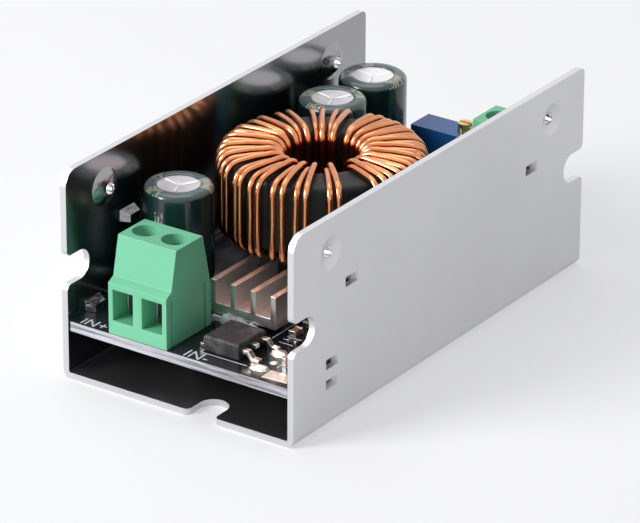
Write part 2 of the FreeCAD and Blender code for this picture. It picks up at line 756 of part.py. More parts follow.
def make_capacitor(place_name, y):
    foot = "board_top"
    top = "board_top + can_height"
    bore = "can_radius - can_wall"
    can = turned(place_name + "_can", [
        (bore, foot), ("can_radius", foot),
        ("can_radius", top + " - can_shoulder"), ("can_radius - can_shoulder", top),
        ("0", top), ("0", "board_top + bung_height"), (bore, "board_top + bung_height"),
    ], "can_x", y)
    scores = []
    for index, angle in enumerate((90, 210, 330)):
        across = (0.5 * math.sin(math.radians(angle)), -0.5 * math.cos(math.radians(angle)))
        arm = box("%s_score_%d" % (place_name, index),
                  ("0.95 * sleeve_rim_radius", "vent_width", "2 * vent_depth"), ("0", "0", "0"))
        arm.Placement = Placement(Vector(), Rotation(Vector(0, 0, 1), angle))
        arm.setExpression("Placement.Base.x", rule("can_x + %.6f * vent_width" % across[0]))
        arm.setExpression("Placement.Base.y", rule("%s + %.6f * vent_width" % (y, across[1])))
        arm.setExpression("Placement.Base.z", rule(top + " - vent_depth"))
        scores.append(arm)
    node(place_name + "_capacitor_can", cut(place_name + "_can_scored", can, scores))
    skin = "sleeve_thickness"
    sleeve = turned(place_name + "_sleeve", [
        ("can_radius", foot + " + 2 * sleeve_thickness"),
        ("sleeve_radius", foot + " + 2 * sleeve_thickness"),
        ("sleeve_radius", top + " - can_shoulder"),
        ("sleeve_radius - can_shoulder", top + " + " + skin),
        ("sleeve_rim_radius", top + " + " + skin), ("sleeve_rim_radius", top),
        ("can_radius - can_shoulder", top), ("can_radius", top + " - can_shoulder"),
    ], "can_x", y)
    node(place_name + "_capacitor_sleeve", sleeve)
    node(place_name + "_capacitor_bung",
         cylinder(place_name + "_plug", bore, "bung_height", ("can_x", y, foot)))
    leads = []
    for index, side in enumerate((-1, 1)):
        lead_x = "can_x + %d * can_lead_pitch / 2" % side
        leads.append(rod("%s_lead_%d" % (place_name, index), PIN_SIDES, "can_lead_radius",
                         "board_thickness + pin_tail", (lead_x, y, "board_underside - pin_tail")))
        soldered_pins.append((lead_x, y, "can_lead_radius"))
    node(place_name + "_capacitor_leads", group(place_name + "_leads", leads))


# Ring choke: a coated powder core wound with two copper wires side by side. The
# turns stand in pairs and groups, two layers deep where they crowd in the bore.

def turn_angles():
    angles = [FIRST_CLUSTER_START + FIRST_CLUSTER_STEP * i for i in range(FIRST_CLUSTER_TURNS)]
    angles += list(REAR_TURNS) + list(REAR_LEFT_TURNS)
    angles += [LEFT_CLUSTER_START + LEFT_CLUSTER_STEP * i for i in range(LEFT_CLUSTER_TURNS)]
    return angles + list(FRONT_TURNS)


def strand_path(layer):
    """Corner points of one wire: up through the board, round the core and down again."""
    centre = (number("choke_shift_x"), number("choke_shift_y"))
    bottom = number("turns_underside + wire_radius")
    top = number("core_top + wire_air + wire_radius")
    outer = number("outer_wire_radius")
    inner = number("inner_wire_radius") - layer * number("second_layer_step")
    lift = layer * number("second_layer_rise")
    wide, tight = number("outer_turn_bend"), number("inner_turn_bend")
    tail = number("board_underside - pin_tail")

    def spot(angle, radius, level):
        way = math.radians(angle)
        return Vector(centre[0] + radius * math.cos(way), centre[1] + radius * math.sin(way), level)

    angles = turn_angles()[layer::2]
    points = [spot(angles[0], outer, tail)]
    for index, angle in enumerate(angles):
        if index:
            points.append(spot(angle, outer, bottom))
        points += [
            spot(angle, outer, top - wide), spot(angle, outer - wide, top),
            spot(angle, inner + tight, top + lift), spot(angle, inner, top + lift - tight),
            spot(angle, inner, bottom - lift),
        ]
    gap = angles[-1] + LEFT_CLUSTER_STEP
    points += [spot(gap, outer, bottom), spot(gap, outer, tail)]
    return points


def wire_solid(points, radius):
    """A wire of flat-sided section along straight runs with mitred corners."""
    runs = [(b - a).normalize() for a, b in zip(points, points[1:])]
    side = runs[0].cross(Vector(1, 0, 0)).normalize()
    up = runs[0].cross(side)
    ring = []
    for index in range(WIRE_FACETS):
        way = 2 * math.pi * index / WIRE_FACETS
        ring.append(points[0] + side * (radius * math.cos(way)) + up * (radius * math.sin(way)))
    rings = [ring]
    for index, corner in enumerate(points[1:], start=1):
        run = runs[index - 1]
        after = runs[index] if index < len(runs) else run
        plane = (run + after).normalize()
        ring = [p + run * ((corner - p).dot(plane) / run.dot(plane)) for p in rings[-1]]
        rings.append(ring)
    faces = []
    for near, far in zip(rings, rings[1:]):
        for index in range(WIRE_FACETS):
            after = (index + 1) % WIRE_FACETS
            corners = [near[index], near[after], far[after], far[index], near[index]]
            faces.append(Part.Face(Part.makePolygon(corners)))
    for end in (rings[0], rings[-1]):
        faces.append(Part.Face(Part.makePolygon(end + [end[0]])))
    shell = Part.makeShell(faces)
    shell.sewShape()
    wire = Part.makeSolid(Part.Shell(shell.Faces))
    if wire.Volume < 0:
        wire.reverse()
    return wire


def make_choke():
    low, high, bevel = "core_underside", "core_top", "core_round"
    ring = turned("core_ring", [
        ("core_bore_radius + " + bevel, low), ("core_radius - " + bevel, low),
        ("core_radius", "%s + %s" % (low, bevel)), ("core_radius", "%s - %s" % (high, bevel)),
        ("core_radius - " + bevel, high), ("core_bore_radius + " + bevel, high),
        ("core_bore_radius", "%s - %s" % (high, bevel)), ("core_bore_radius", "%s + %s" % (low, bevel)),
    ], "choke_shift_x", "choke_shift_y")
    node("choke_core", ring)
    winding = doc.addObject("Part::Feature", "choke_strands")
    strands = []
    for layer in (0, 1):
        points = strand_path(layer)
        strands.append(wire_solid(points, number("wire_radius")))
        for end in (points[0], points[-1]):
            soldered_pins.append((repr(round(end.x, 6)), repr(round(end.y, 6)),
                                  "1.16 * wire_radius"))
    winding.Shape = Part.makeCompound(strands)
    node("choke_winding", winding)


# Heat sink: an extrusion with four fins, glued to two flat power transistors.

def make_sink():
    body = doc.addObject("PartDesign::Body", "sink_bar")
    low = "sink_underside"
    floor = "sink_underside + sink_base"
    high = "sink_top"
    left = "sink_x - sink_width / 2"
    last = FIN_COUNT - 1
    step = "(sink_width - fin_thickness) / %d" % last
    corners = [("%s" % left, low), ("%s + sink_width" % left, low)]
    for fin in range(last, -1, -1):
        near = "%s + %d * %s" % (left, fin, step)
        if fin < last:
            corners.append(("%s + fin_thickness" % near, floor))
        corners += [("%s + fin_thickness" % near, high), (near, high)]
        if fin:
            corners.append((near, floor))
    section = outline(body, "sink_section", "XZ_Plane", corners, "-(sink_y)")
    pad(body, section, "sink_length", midplane=True)
    node("heat_sink", body)
    layer = centred_box("adhesive_layer",
                        ("sink_width - 2 * adhesive_side_inset",
                         "sink_length - 2 * adhesive_end_inset", "adhesive_thickness"),
                        ("sink_x", "sink_y"), "board_top + transistor_height")
    bead = box("adhesive_bead", ("bead_length", "bead_width", "bead_height"),
               ("sink_x - sink_width / 2 + bead_width", "sink_y - sink_length / 2 - bead_width",
                "board_top"))
    squeezed = group("adhesive_whole", [layer, bead])
    node("thermal_adhesive", squeezed)
    devices = []
    for index, side in enumerate((-1, 1)):
        devices.append(centred_box("transistor_%d" % index,
                                   ("transistor_width", "transistor_length", "transistor_height"),
                                   ("sink_x + %d * transistor_spacing / 2" % side, "sink_y"),
                                   "board_top"))
    node("power_transistors", group("transistor_pair", devices))


# Moulded packages with bent leads.

def gull_corners(body_face, reach, level, thick, side, x):
    """Section of a lead that leaves a body at a level, bends down and ends flat on the board."""
    foot = "0.45 * %s" % reach
    outline_points = [
        ("%s" % body_face, level), ("%s + 0.3 * %s" % (body_face, reach), level),
        ("%s + %s - %s" % (body_face, reach, foot), "0"), ("%s + %s" % (body_face, reach), "0"),
        ("%s + %s" % (body_face, reach), thick),
        ("%s + %s - %s + 0.5 * %s" % (body_face, reach, foot, thick), thick),
        ("%s + 0.3 * %s + 0.5 * %s" % (body_face, reach, thick), "%s + %s" % (level, thick)),
        ("%s" % body_face, "%s + %s" % (level, thick)),
    ]
    return [("%s + %d * (%s)" % (x, side, a), "board_top + " + b) for a, b in outline_points]


def lead_row(name, x, y, face, side, count, pitch, width, sizes):
    """A row of equal leads along Y on one side of a package."""
    reach, level, thick = sizes
    body = doc.addObject("PartDesign::Body", name)
    section = outline(body, name + "_section", "XZ_Plane",
                      gull_corners(face, reach, level, thick, side, x),
                      "-(%s) + %s * %s" % (y, (count - 1) / 2, pitch))
    feature = pad(body, section, width, midplane=True)
    doc.recompute()
    if count > 1:
        row = body.newObject("PartDesign::LinearPattern", name + "_row")
        row.Originals = [feature]
        row.Direction = (section, ["N_Axis"])
        row.Reversed = True
        row.setExpression("Length", rule("%d * %s" % (count - 1, pitch)))
        row.Occurrences = count
        body.Tip = row
    return body


def moulded(name, x, y, length_x, length_y, height, low="board_top"):
    """A moulded package whose upper half draws in towards its top."""
    body = doc.addObject("PartDesign::Body", name)
    plan = outline(body, name + "_plan", "XY_Plane",
                   rectangle("%s - %s / 2" % (x, length_x), "%s - %s / 2" % (y, length_y),
                             "%s + %s / 2" % (x, length_x), "%s + %s / 2" % (y, length_y)), low)
    pad(body, plan, height)
    doc.recompute()
    high = number("%s + %s" % (low, height))
    names = []
    for index, edge in enumerate(body.Shape.Edges, start=1):
        if all(abs(v.Z - high) < 0.001 for v in edge.Vertexes):
            names.append("Edge%d" % index)
    before = body.Tip
    bevel = body.newObject("PartDesign::Chamfer", name + "_draft")
    bevel.Base = (before, names)
    bevel.setExpression("Size", rule("moulding_draft"))
    body.Tip = bevel
    return body


def make_rectifier():
    node("rectifier_body", moulded("rectifier_moulding", "rectifier_x", "rectifier_y",
                                   "rectifier_length", "rectifier_width", "rectifier_height"))
    tab_low = "rectifier_x - rectifier_length / 2 - rectifier_tab_reach"
    tab = box("rectifier_tab", ("rectifier_tab_reach", "rectifier_tab_width",
                                "rectifier_tab_thickness"),
              (tab_low, "rectifier_y - rectifier_tab_width / 2", "board_top"))
    outer = lead_row("rectifier_outer_leads", "rectifier_x", "rectifier_y",
                     "rectifier_length / 2", 1, 2, "2 * rectifier_lead_pitch",
                     "rectifier_lead_width",
                     ("rectifier_lead_reach", "rectifier_lead_level", "rectifier_tab_thickness"))
    stub = centred_box("rectifier_stub",
                       ("rectifier_stub_length", "rectifier_lead_width", "rectifier_tab_thickness"),
                       ("rectifier_x + (rectifier_length + rectifier_stub_length) / 2",
                        "rectifier_y"), "board_top + rectifier_lead_level")
    node("rectifier_leads", group("rectifier_metal", [tab, outer, stub]))


def make_chip(name, x, y, width, length, count):
    node(name + "_chip", moulded(name + "_moulding", x, y, width, length, "chip_body_height"))
    rows = []
    for side, hand in ((-1, "left"), (1, "right")):
        rows.append(lead_row("%s_%s_leads" % (name, hand), x, y, "%s / 2" % width, side, count,
                             "chip_lead_pitch", "chip_lead_width",
                             ("chip_lead_reach", "chip_lead_level", "chip_lead_thickness")))
    node(name + "_chip_leads", group(name + "_lead_rows", rows))


# Trimmer: a sealed block on three pins, with a brass adjusting screw at one end of
# its top.

def make_trimmer():
    low = "board_top + trimmer_stand_off"
    block = centred_box("trimmer_block", ("trimmer_length", "trimmer_width",
                                          "trimmer_height - trimmer_stand_off"),
                        ("trimmer_x", "trimmer_y"), low)
    feet = []
    for index, side in enumerate((-1, 1)):
        feet.append(centred_box("trimmer_foot_%d" % index,
                                ("trimmer_foot_length", "trimmer_width", "trimmer_stand_off"),
                                ("trimmer_x + %d * (trimmer_length - trimmer_foot_length) / 2" % side,
                                 "trimmer_y"), "board_top"))
    bore = cylinder("trimmer_bore", "trimmer_screw_radius + screw_clearance",
                    "2 * trimmer_screw_depth",
                    ("trimmer_screw_x", "trimmer_y",
                     "board_top + trimmer_height - trimmer_screw_depth - screw_clearance"))
    node("trimmer_body", cut("trimmer_case", fused("trimmer_blank", [block] + feet), [bore]))
    screw = cylinder("trimmer_screw_rod", "trimmer_screw_radius",
                     "trimmer_screw_depth + trimmer_screw_reach",
                     ("trimmer_screw_x", "trimmer_y",
                      "board_top + trimmer_height - trimmer_screw_depth"))
    slot = centred_box("trimmer_screw_slot",
                       ("4 * trimmer_screw_radius", "trimmer_slot_width", "2 * trimmer_slot_depth"),
                       ("trimmer_screw_x", "trimmer_y"),
                       "board_top + trimmer_height + trimmer_screw_reach - trimmer_slot_depth")
    node("trimmer_screw", cut("trimmer_adjuster", screw, [slot]))
    pins = []
    for index in (-1, 0, 1):
        x = "trimmer_x + %d * trimmer_pin_pitch" % index
        pins.append(rod("trimmer_pin_%d" % (index + 1), PIN_SIDES, "trimmer_pin_radius",
                        "board_thickness + pin_tail + trimmer_stand_off",
                        (x, "trimmer_y", "board_underside - pin_tail")))
        soldered_pins.append((x, "trimmer_y", "trimmer_pin_radius"))
    node("trimmer_pins", group("trimmer_pin_row", pins))


# Small parts: shunt, ceramic capacitors, resistors and their tinned ends.

def two_ended(name, kind, x, y, along, share):
    """The middle and the two tinned ends of a part soldered at its ends."""
    length, width, height = (kind + "_length", kind + "_width", kind + "_height")
    middle = ["%s * (1 - 2 * %s)" % (length, share), "0.94 * " + width, "0.94 * " + height]
    end = ["%s * %s" % (length, share), width, height]
    if along == "y":
        middle[:2] = middle[1::-1]
        end[:2] = end[1::-1]
    ends = []
    for index, side in enumerate((-1, 1)):
        away = " + %d * %s * (1 - %s) / 2" % (side, length, share)
        spot = (x + away, y) if along == "x" else (x, y + away)
        ends.append(centred_box("%s_end_%d" % (name, index), end, spot, "board_top"))
    return centred_box(name, middle, (x, y), "board_top"), ends


def make_small_parts():
    ends = []
    bodies = {"capacitor": [], "resistor": []}
    for index, (kind, *_, along) in enumerate(SMALL_PARTS):
        name = "part_%s" % chr(ord("a") + index)
        body, tips = two_ended(name, kind, name + "_at_x", name + "_at_y", along, "chip_end_share")
        bodies[kind.split("_")[-1]].append(body)
        ends += tips
    node("chip_capacitors", group("ceramic_row", bodies["capacitor"]))
    node("chip_resistors", group("resistor_row", bodies["resistor"]))
    shunt, tips = two_ended("shunt_bar", "shunt", "shunt_x", "shunt_y", "x", "chip_end_share")
    node("current_shunt", shunt)
    node("chip_part_ends", group("chip_ends", ends + tips))


def make_gap_pad():
    body = doc.addObject("PartDesign::Body", "gap_pad_block")
    plan = outline(body, "gap_pad_plan", "XY_Plane",
                   rectangle("can_x + can_lead_pitch / 2 + gap_pad_clearance", "gap_pad_start",
                             "gap_pad_right",
                             "board_half_length - strip_leg_depth - gap_pad_clearance - pin_radius"),
                   "sheet_thickness")
    pad(body, plan, "board_underside - sheet_thickness")
    node("gap_pad", body)


make_channel()
make_terminal("input", "input_block_x", -1)
make_terminal("output", "output_block_x", 1)
for which in ("front", "middle", "back"):
    make_capacitor(which, which + "_can_y")
make_choke()
make_sink()
make_rectifier()
make_chip("controller", "controller_x", "controller_y", "controller_width", "controller_length", 8)
make_chip("amplifier", "amplifier_x", "amplifier_y", "amplifier_width", "amplifier_length", 4)
make_trimmer()
make_small_parts()
make_gap_pad()
make_solder()
make_board()

doc.recompute()
faults = []
for item in doc.Objects:
    if "Invalid" in item.State or "Error" in item.State:
        faults.append("%s %s" % (item.Label, item.State))
for piece in nodes:
    if piece.Shape.isNull() or not piece.Shape.isValid() or not piece.Shape.Solids:
        faults.append("bad shape: " + piece.Label)
if faults:
    raise ValueError("; ".join(faults))

os.makedirs("parts", exist_ok=True)
for piece in nodes:
    piece.Shape.exportStep("parts/%s.step" % piece.Label)
    print("%-30s %3d solids %10.2f mm3" % (piece.Label, len(piece.Shape.Solids), piece.Shape.Volume))
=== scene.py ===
# %% [markdown]
# A step-down power converter in a folded aluminium channel. This lesson dresses a
# solid model of it for a photograph. The solids give every size and place, so each
# step only has to answer two questions: what does this piece look like close up, and
# what is the simplest way to make that in Blender. Sizes are written in millimetres
# and become metres where they reach Blender.

# %% Load the solids
import json
import math
import random
import bmesh
import bpy
from mathutils import Euler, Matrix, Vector


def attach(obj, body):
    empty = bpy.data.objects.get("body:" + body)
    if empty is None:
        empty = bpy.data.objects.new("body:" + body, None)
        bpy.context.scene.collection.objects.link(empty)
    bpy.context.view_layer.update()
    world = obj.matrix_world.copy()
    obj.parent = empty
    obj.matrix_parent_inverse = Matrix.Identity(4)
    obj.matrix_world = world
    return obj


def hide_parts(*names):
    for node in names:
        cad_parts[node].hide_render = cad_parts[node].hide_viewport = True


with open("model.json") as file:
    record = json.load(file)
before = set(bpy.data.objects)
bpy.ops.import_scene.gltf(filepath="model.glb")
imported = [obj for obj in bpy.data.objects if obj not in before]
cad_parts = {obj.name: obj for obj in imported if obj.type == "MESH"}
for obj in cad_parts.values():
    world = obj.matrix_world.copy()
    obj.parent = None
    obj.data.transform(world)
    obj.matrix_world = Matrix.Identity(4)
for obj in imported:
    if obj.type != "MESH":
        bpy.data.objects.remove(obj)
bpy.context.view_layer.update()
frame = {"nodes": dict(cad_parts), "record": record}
MM = 0.001
HOME = {node: body for body, nodes in frame["record"]["behaviour"]["bodies"].items()
        for node in nodes}

# %% [markdown]
# The photograph looks down on the input end from the right front, and its walls stay
# nearly parallel, so the camera stands far away with a long lens. It could be aimed by
# eye. Here its place and turn were solved from the corners of the channel instead,
# because every other piece then falls where the photograph has it.

# %% Camera
LENS_MM, SENSOR_MM = 277.168, 36.0
EYE_PLACE = (0.36841077, -0.53751942, 0.3109168)
EYE_TURN = (65.1586114, -0.23459114, 34.63871529)

eye = bpy.data.cameras.new("eye")
eye.lens, eye.sensor_width, eye.clip_end = LENS_MM, SENSOR_MM, 20.0
camera = bpy.data.objects.new("camera", eye)
camera.location = EYE_PLACE
camera.rotation_euler = Euler([math.radians(angle) for angle in EYE_TURN])
bpy.context.collection.objects.link(camera)
bpy.context.scene.camera = camera
bpy.context.scene.view_settings.view_transform = "Standard"
print("camera at", [round(v, 3) for v in EYE_PLACE], "with a lens of", LENS_MM, "mm")

# %% [markdown]
# Materials are sums on sockets: a mask times a colour, one minus a mask. Written node
# by node that is long, so a small class wraps a socket and lets Python's operators
# add the Math nodes. One method makes every other kind of node: first its settings,
# then the values or links of its sockets.

# %% Shader sums
class Signal:
    """An output socket that takes part in sums."""
    def __init__(self, tree, socket):
        self.tree, self.socket = tree, socket

    def sum(self, operation, first, second=0.0):
        return self.tree.add("Math", {"operation": operation}, {0: first, 1: second})

    def __add__(self, other):
        return self.sum("ADD", self, other)

    def __sub__(self, other):
        return self.sum("SUBTRACT", self, other)

    def __rsub__(self, other):
        return self.sum("SUBTRACT", other, self)

    def __mul__(self, other):
        return self.sum("MULTIPLY", self, other)

    def __gt__(self, other):
        return self.sum("GREATER_THAN", self, other)

    def __lt__(self, other):
        return self.sum("LESS_THAN", self, other)

    def __abs__(self):
        return self.sum("ABSOLUTE", self)

    def fraction(self):
        return self.sum("FRACT", self)

    def most(self, other):
        return self.sum("MAXIMUM", self, other)

    __radd__, __rmul__ = __add__, __mul__


class Tree:
    """A shader tree, and the one method that adds any kind of node to it."""
    def __init__(self, tree):
        self.nodes, self.links = tree.nodes, tree.links

    def set(self, node, sockets):
        for key, value in sockets.items():
            socket = node.inputs[key]
            if isinstance(value, Signal):
                self.links.new(value.socket, socket)
            elif socket.type == "RGBA" and len(value) == 3:
                socket.default_value = (*value, 1.0)
            else:
                socket.default_value = value

    def add(self, kind, settings=(), sockets=(), out=0):
        node = self.nodes.new("ShaderNode" + kind)
        for key, value in dict(settings).items():
            setattr(node, key, value)
        self.set(node, dict(sockets))
        return Signal(self, node.outputs[out])

    def blend(self, factor, first, second, outlet):
        """End the tree in the first shader at factor 0 and the second at 1."""
        mixed = self.add("MixShader", sockets={0: factor, 1: first, 2: second})
        self.links.new(mixed.socket, self.nodes[outlet].inputs[0])


print("sums on sockets: + - * > < and abs")

# %% [markdown]
# A finish is one material. Nearly all of them are made the same way: a fine noise
# stands for the grain of the surface, and the colour, the roughness and the bump all
# follow it. They could each have a texture of their own, but a scuffed spot on real
# metal or plastic is paler and duller at once, so sharing one noise looks truer.

# %% Finishes
class Finish(Tree):
    """One material, with its main shader and the calls that feed it."""
    def __init__(self, name, **constants):
        self.name = name
        self.material = bpy.data.materials.new(name)
        self.material.use_nodes = True
        super().__init__(self.material.node_tree)
        self.shader = self.nodes["Principled BSDF"]
        self.feed(**constants)

    def feed(self, **sockets):
        self.set(self.shader, {k.replace("_", " "): v for k, v in sockets.items()})

    def point(self):
        return self.add("TexCoord", out="Object")

    def axis(self, letter):
        return self.add("SeparateXYZ", sockets={0: self.point()}, out=letter)

    def noise(self, scale, stretch=(1, 1, 1), detail=3.0, rough=0.5):
        where = self.add("Mapping", sockets={"Vector": self.point(), "Scale": stretch})
        return self.add("TexNoise", sockets={"Vector": where, "Scale": scale,
                                             "Detail": detail, "Roughness": rough})

    def mix(self, mask, first, second):
        return self.add("Mix", {"data_type": "RGBA"}, {0: mask, 6: first, 7: second},
                        out=2)

    def band(self, signal, low, high):
        """A soft step from 0 at low to 1 at high."""
        return self.add("MapRange", {"interpolation_type": "SMOOTHSTEP"},
                        {"Value": signal, "From Min": low, "From Max": high})

    def toned(self, grain, dark, light, rough=None):
        """Colour from dark to light with the grain; rough: how much it roughens, and
        the least roughness."""
        self.feed(Base_Color=self.mix(grain, dark, light))
        if rough:
            self.feed(Roughness=grain * rough[0] + rough[1])

    def bump(self, height, depth):
        """depth: in mm."""
        self.feed(Normal=self.add("Bump", sockets={"Height": height,
                                                   "Distance": depth * MM}))


# %% [markdown]
# Real edges are never sharp: a thin bright line runs along each one. The solids come
# as loose triangles, so a copy is merged and its flat faces are joined. Then a Bevel
# modifier rounds the sharp edges, and its hardened normals keep the flats flat. The
# channel also has pressed forms that leave its walls at a low angle. Their rims get a
# wide soft bevel, and normals weighted by area keep the big walls free of shading.

# %% Helper: a solid with soft edges
SAME_POINT = 2e-6                      # m: points closer than this are one
FLAT_TURN = 1e-3                       # rad: triangles that turn less are one face
OPEN_TURN = 3.0                        # rad: stands in where an edge has one face
SHARP_TURN = math.radians(28)          # edges that turn more are rounded
PRESSED_TURN = (0.02, math.radians(70))   # between these a pressed form begins
WALL_NORMAL = 0.9999                   # how straight a flat wall faces sideways


def piece_of(name, mesh, finish):
    mesh.materials.clear()
    mesh.materials.append(finish.material)
    piece = bpy.data.objects.new(name, mesh)
    bpy.context.collection.objects.link(piece)
    return piece


def merged(node):
    work = bmesh.new()
    work.from_mesh(frame["nodes"][node].data)
    bmesh.ops.remove_doubles(work, verts=work.verts, dist=SAME_POINT)
    flat = {face for side in work.edges
            if len(side.link_faces) == 2 and side.calc_face_angle(OPEN_TURN) < FLAT_TURN
            for face in side.link_faces}
    bmesh.ops.join_triangles(work, faces=list(flat), angle_face_threshold=0.01,
                             angle_shape_threshold=3.14)
    for face in work.faces:
        face.smooth, face.material_index = True, 0
    return work


def dressed(node, finish, edge, rounds=2, rim=0.0):
    """edge: width in mm of the soft edges; rim: the same round pressed forms."""
    work = merged(node)
    weight = work.edges.layers.float.new("bevel_weight_edge")
    for side in work.edges:
        turn = side.calc_face_angle(OPEN_TURN)
        on_wall = any(abs(face.normal.x) > WALL_NORMAL for face in side.link_faces)
        pressed = rim > 0 and on_wall and PRESSED_TURN[0] < turn < PRESSED_TURN[1]
        side.smooth = turn < SHARP_TURN and not pressed
        plain = 0.0 if side.smooth else edge / max(edge, rim)
        side[weight] = 1.0 if pressed else plain
    mesh = bpy.data.meshes.new(node + "_dressed")
    work.to_mesh(mesh)
    work.free()
    piece = piece_of(node + "_dressed", mesh, finish)
    soft = piece.modifiers.new("soft_edges", "BEVEL")
    soft.width, soft.segments = max(edge, rim) * MM, rounds
    soft.limit_method, soft.miter_outer = "WEIGHT", "MITER_ARC"
    soft.harden_normals = not rim
    if rim:
        flats = piece.modifiers.new("flat_walls", "WEIGHTED_NORMAL")
        flats.weight, flats.keep_sharp = 100, True
    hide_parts(node)
    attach(piece, HOME[node])
    print(piece.name, len(mesh.polygons), "faces")


def painted(node, finish):
    solid = frame["nodes"][node]
    solid.data.materials.clear()
    solid.data.materials.append(finish.material)
    print(node, "painted with", finish.name)


print("edges that turn more than", round(math.degrees(SHARP_TURN)), "degrees get soft")

# %% [markdown]
# The channel is one sheet with two faces. Outside, it has the satin of a rolled and
# brushed sheet: fine streaks along the roll, at a roughness near a half. Inside, the
# sheet is a mirror that shows the parts opposite. Its colour there is painted about half
# as bright as outside, as painted shade for the dim inside of the channel. It could have
# two materials, but one with a mask from the place of the surface needs no choice face
# by face, and the cut edges stay bright. The pressed forms are crumpled and a little
# rougher.
# A faint blue tint in all the sheet's colours is a painted reflection of the
# surroundings.

# %% Channel
INSIDE_X, INSIDE_Z = 19.03, 0.97       # the inner faces lie within these
RAISED_X, RAISED_Z = 18.86, 1.2        # what stands up from them lies within these

sheet = Finish("sheet_aluminium", Metallic=1.0)
across, up = sheet.axis("X"), sheet.axis("Z")
inside = (abs(across) < INSIDE_X * MM) * (up > INSIDE_Z * MM)
raised = inside * (abs(across) < RAISED_X * MM) * (up > RAISED_Z * MM)
ground = inside * (up < RAISED_Z * MM)
streaks = sheet.noise(900, (1.0, 0.03, 1.0), 4.0)
clouds = sheet.noise(45, detail=2.0)
# Painted reflection: the faint blue tint of these sheet colours stands in for the
# lavender surroundings seen in the metal.
outer = sheet.mix(clouds, (0.60, 0.60, 0.622), (0.68, 0.68, 0.70))
# Painted shade: the inside colours, the pressed forms included, are about half as bright
# as the outside, standing in for the dim inside of the channel.
inner_painted_shade = sheet.mix(clouds, (0.30, 0.30, 0.32), (0.40, 0.40, 0.42))
inner_painted_shade = sheet.mix(raised, inner_painted_shade, (0.33, 0.33, 0.34))
sheet.feed(Base_Color=sheet.mix(inside, outer, inner_painted_shade),
           Roughness=(streaks * 0.10 + 0.36) * (1 - inside)
           + (clouds * 0.08 + 0.13) * inside + raised * 0.06 + ground * 0.22)
dents = sheet.noise(150, detail=1.0) * inside
crumple = sheet.noise(800, (1.0, 0.5, 1.0), 2.0) * raised * 6.0
sheet.bump(streaks * (1 - inside * 0.85) * 0.1 + (dents + crumple), 0.04)
dressed("channel", sheet, 0.14, 3, rim=0.32)

# %% [markdown]
# A circuit board is glass cloth in resin under black mask. Its routed edge shows the
# pale laminate in layers, and the mask follows the copper under it, so wide conductors
# show as slightly raised fields. The fields could be drawn one by one. Voronoi cells
# by the larger of two distances are close to square and need no drawing.

# %% Circuit board
LAMINATE_Z = (7.45, 8.95)              # the bare edge, between the two masks

board = Finish("board_mask")
level = board.axis("Z")
face = 1 - (level > LAMINATE_Z[0] * MM) * (level < LAMINATE_Z[1] * MM)
cells = board.add("TexVoronoi", {"distance": "CHEBYCHEV"},
                  {"Vector": board.point(), "Scale": 160.0, "Randomness": 0.75},
                  out="Color")
fields = board.add("RGBToBW", sockets={0: cells}) > 0.5
layers = board.noise(900, (0.06, 0.06, 2.2), 4.0, 0.75)
laminate = board.mix(board.band(layers, 0.36, 0.62), (0.13, 0.13, 0.15),
                     (0.56, 0.56, 0.60))
mask = board.mix(fields, (0.012, 0.012, 0.015), (0.022, 0.023, 0.028))
board.feed(Base_Color=board.mix(face, laminate, mask),
           Roughness=board.noise(300) * 0.12 + (1 - face) * 0.4 + 0.2)
board.bump(fields * face + board.noise(1500, detail=2.0) * 0.4, 0.008)
dressed("circuit_board", board, 0.05, 1)

# %% [markdown]
# The terminal blocks are moulded polyamide: a strong green with a fine spark-eroded
# grain. The clouding of the colour is broad and the grain is fine, so they are two
# noises. The same finish serves both blocks.

# %% Terminal housings
ENDS = ("input", "output")

green = Finish("terminal_green", Specular_IOR_Level=0.4)
green.toned(green.noise(120, detail=2.0), (0.145, 0.485, 0.285), (0.17, 0.54, 0.325),
            (0.12, 0.33))
green.bump(green.noise(2600, detail=1.0), 0.004)
for end in ENDS:
    dressed(end + "_terminal_housing", green, 0.16, 3)

# %% [markdown]
# Inside each block stand plated steel parts and tinned copper strips. The plating is
# bright with scuffs, which a fine noise gives. The strips are hardly seen, so they
# keep their solids and only get the finish.

# %% Clamp screws, cages and contact strips
plated = Finish("plated_steel", Metallic=1.0)
worn = plated.noise(900)
plated.toned(worn, (0.52, 0.53, 0.55), (0.78, 0.79, 0.82), (0.2, 0.2))
plated.bump(worn, 0.01)
tinned = Finish("tinned_copper", Metallic=1.0)
tinned.toned(tinned.noise(1400), (0.62, 0.60, 0.56), (0.86, 0.85, 0.80), (0.2, 0.18))
for end in ENDS:
    for hand in ("left", "right"):
        dressed("%s_%s_clamp_screw" % (end, hand), plated, 0.08)
        dressed("%s_%s_clamp_cage" % (end, hand), plated, 0.06)
    painted(end + "_contact_strips", tinned)

# %% [markdown]
# The choke's core, the capacitors' cans and their sleeves are all round, so one helper
# turns a profile round an upright line. Blender's Spin could do that too. Here each
# ring of points is made in turn, because then a surface can also get coordinates that
# wrap round it, and the top of a can its score with three arms, each cut into one ring.

# %% Helper: turn a profile round an upright line
SCORE_ARMS = 3
SCORE_REACH, SCORE_ABOVE = (0.1, 2.8), 25.0   # mm: only this part of a can is cut


def ring_of(work, profile, x, y, way, cut):
    spots = []
    for radius, height in profile:
        scored = SCORE_REACH[0] < radius < SCORE_REACH[1] and height > SCORE_ABOVE
        spots.append(work.verts.new((x * MM + radius * MM * math.cos(way),
                                     y * MM + radius * MM * math.sin(way),
                                     (height - (cut if scored else 0)) * MM)))
    return spots


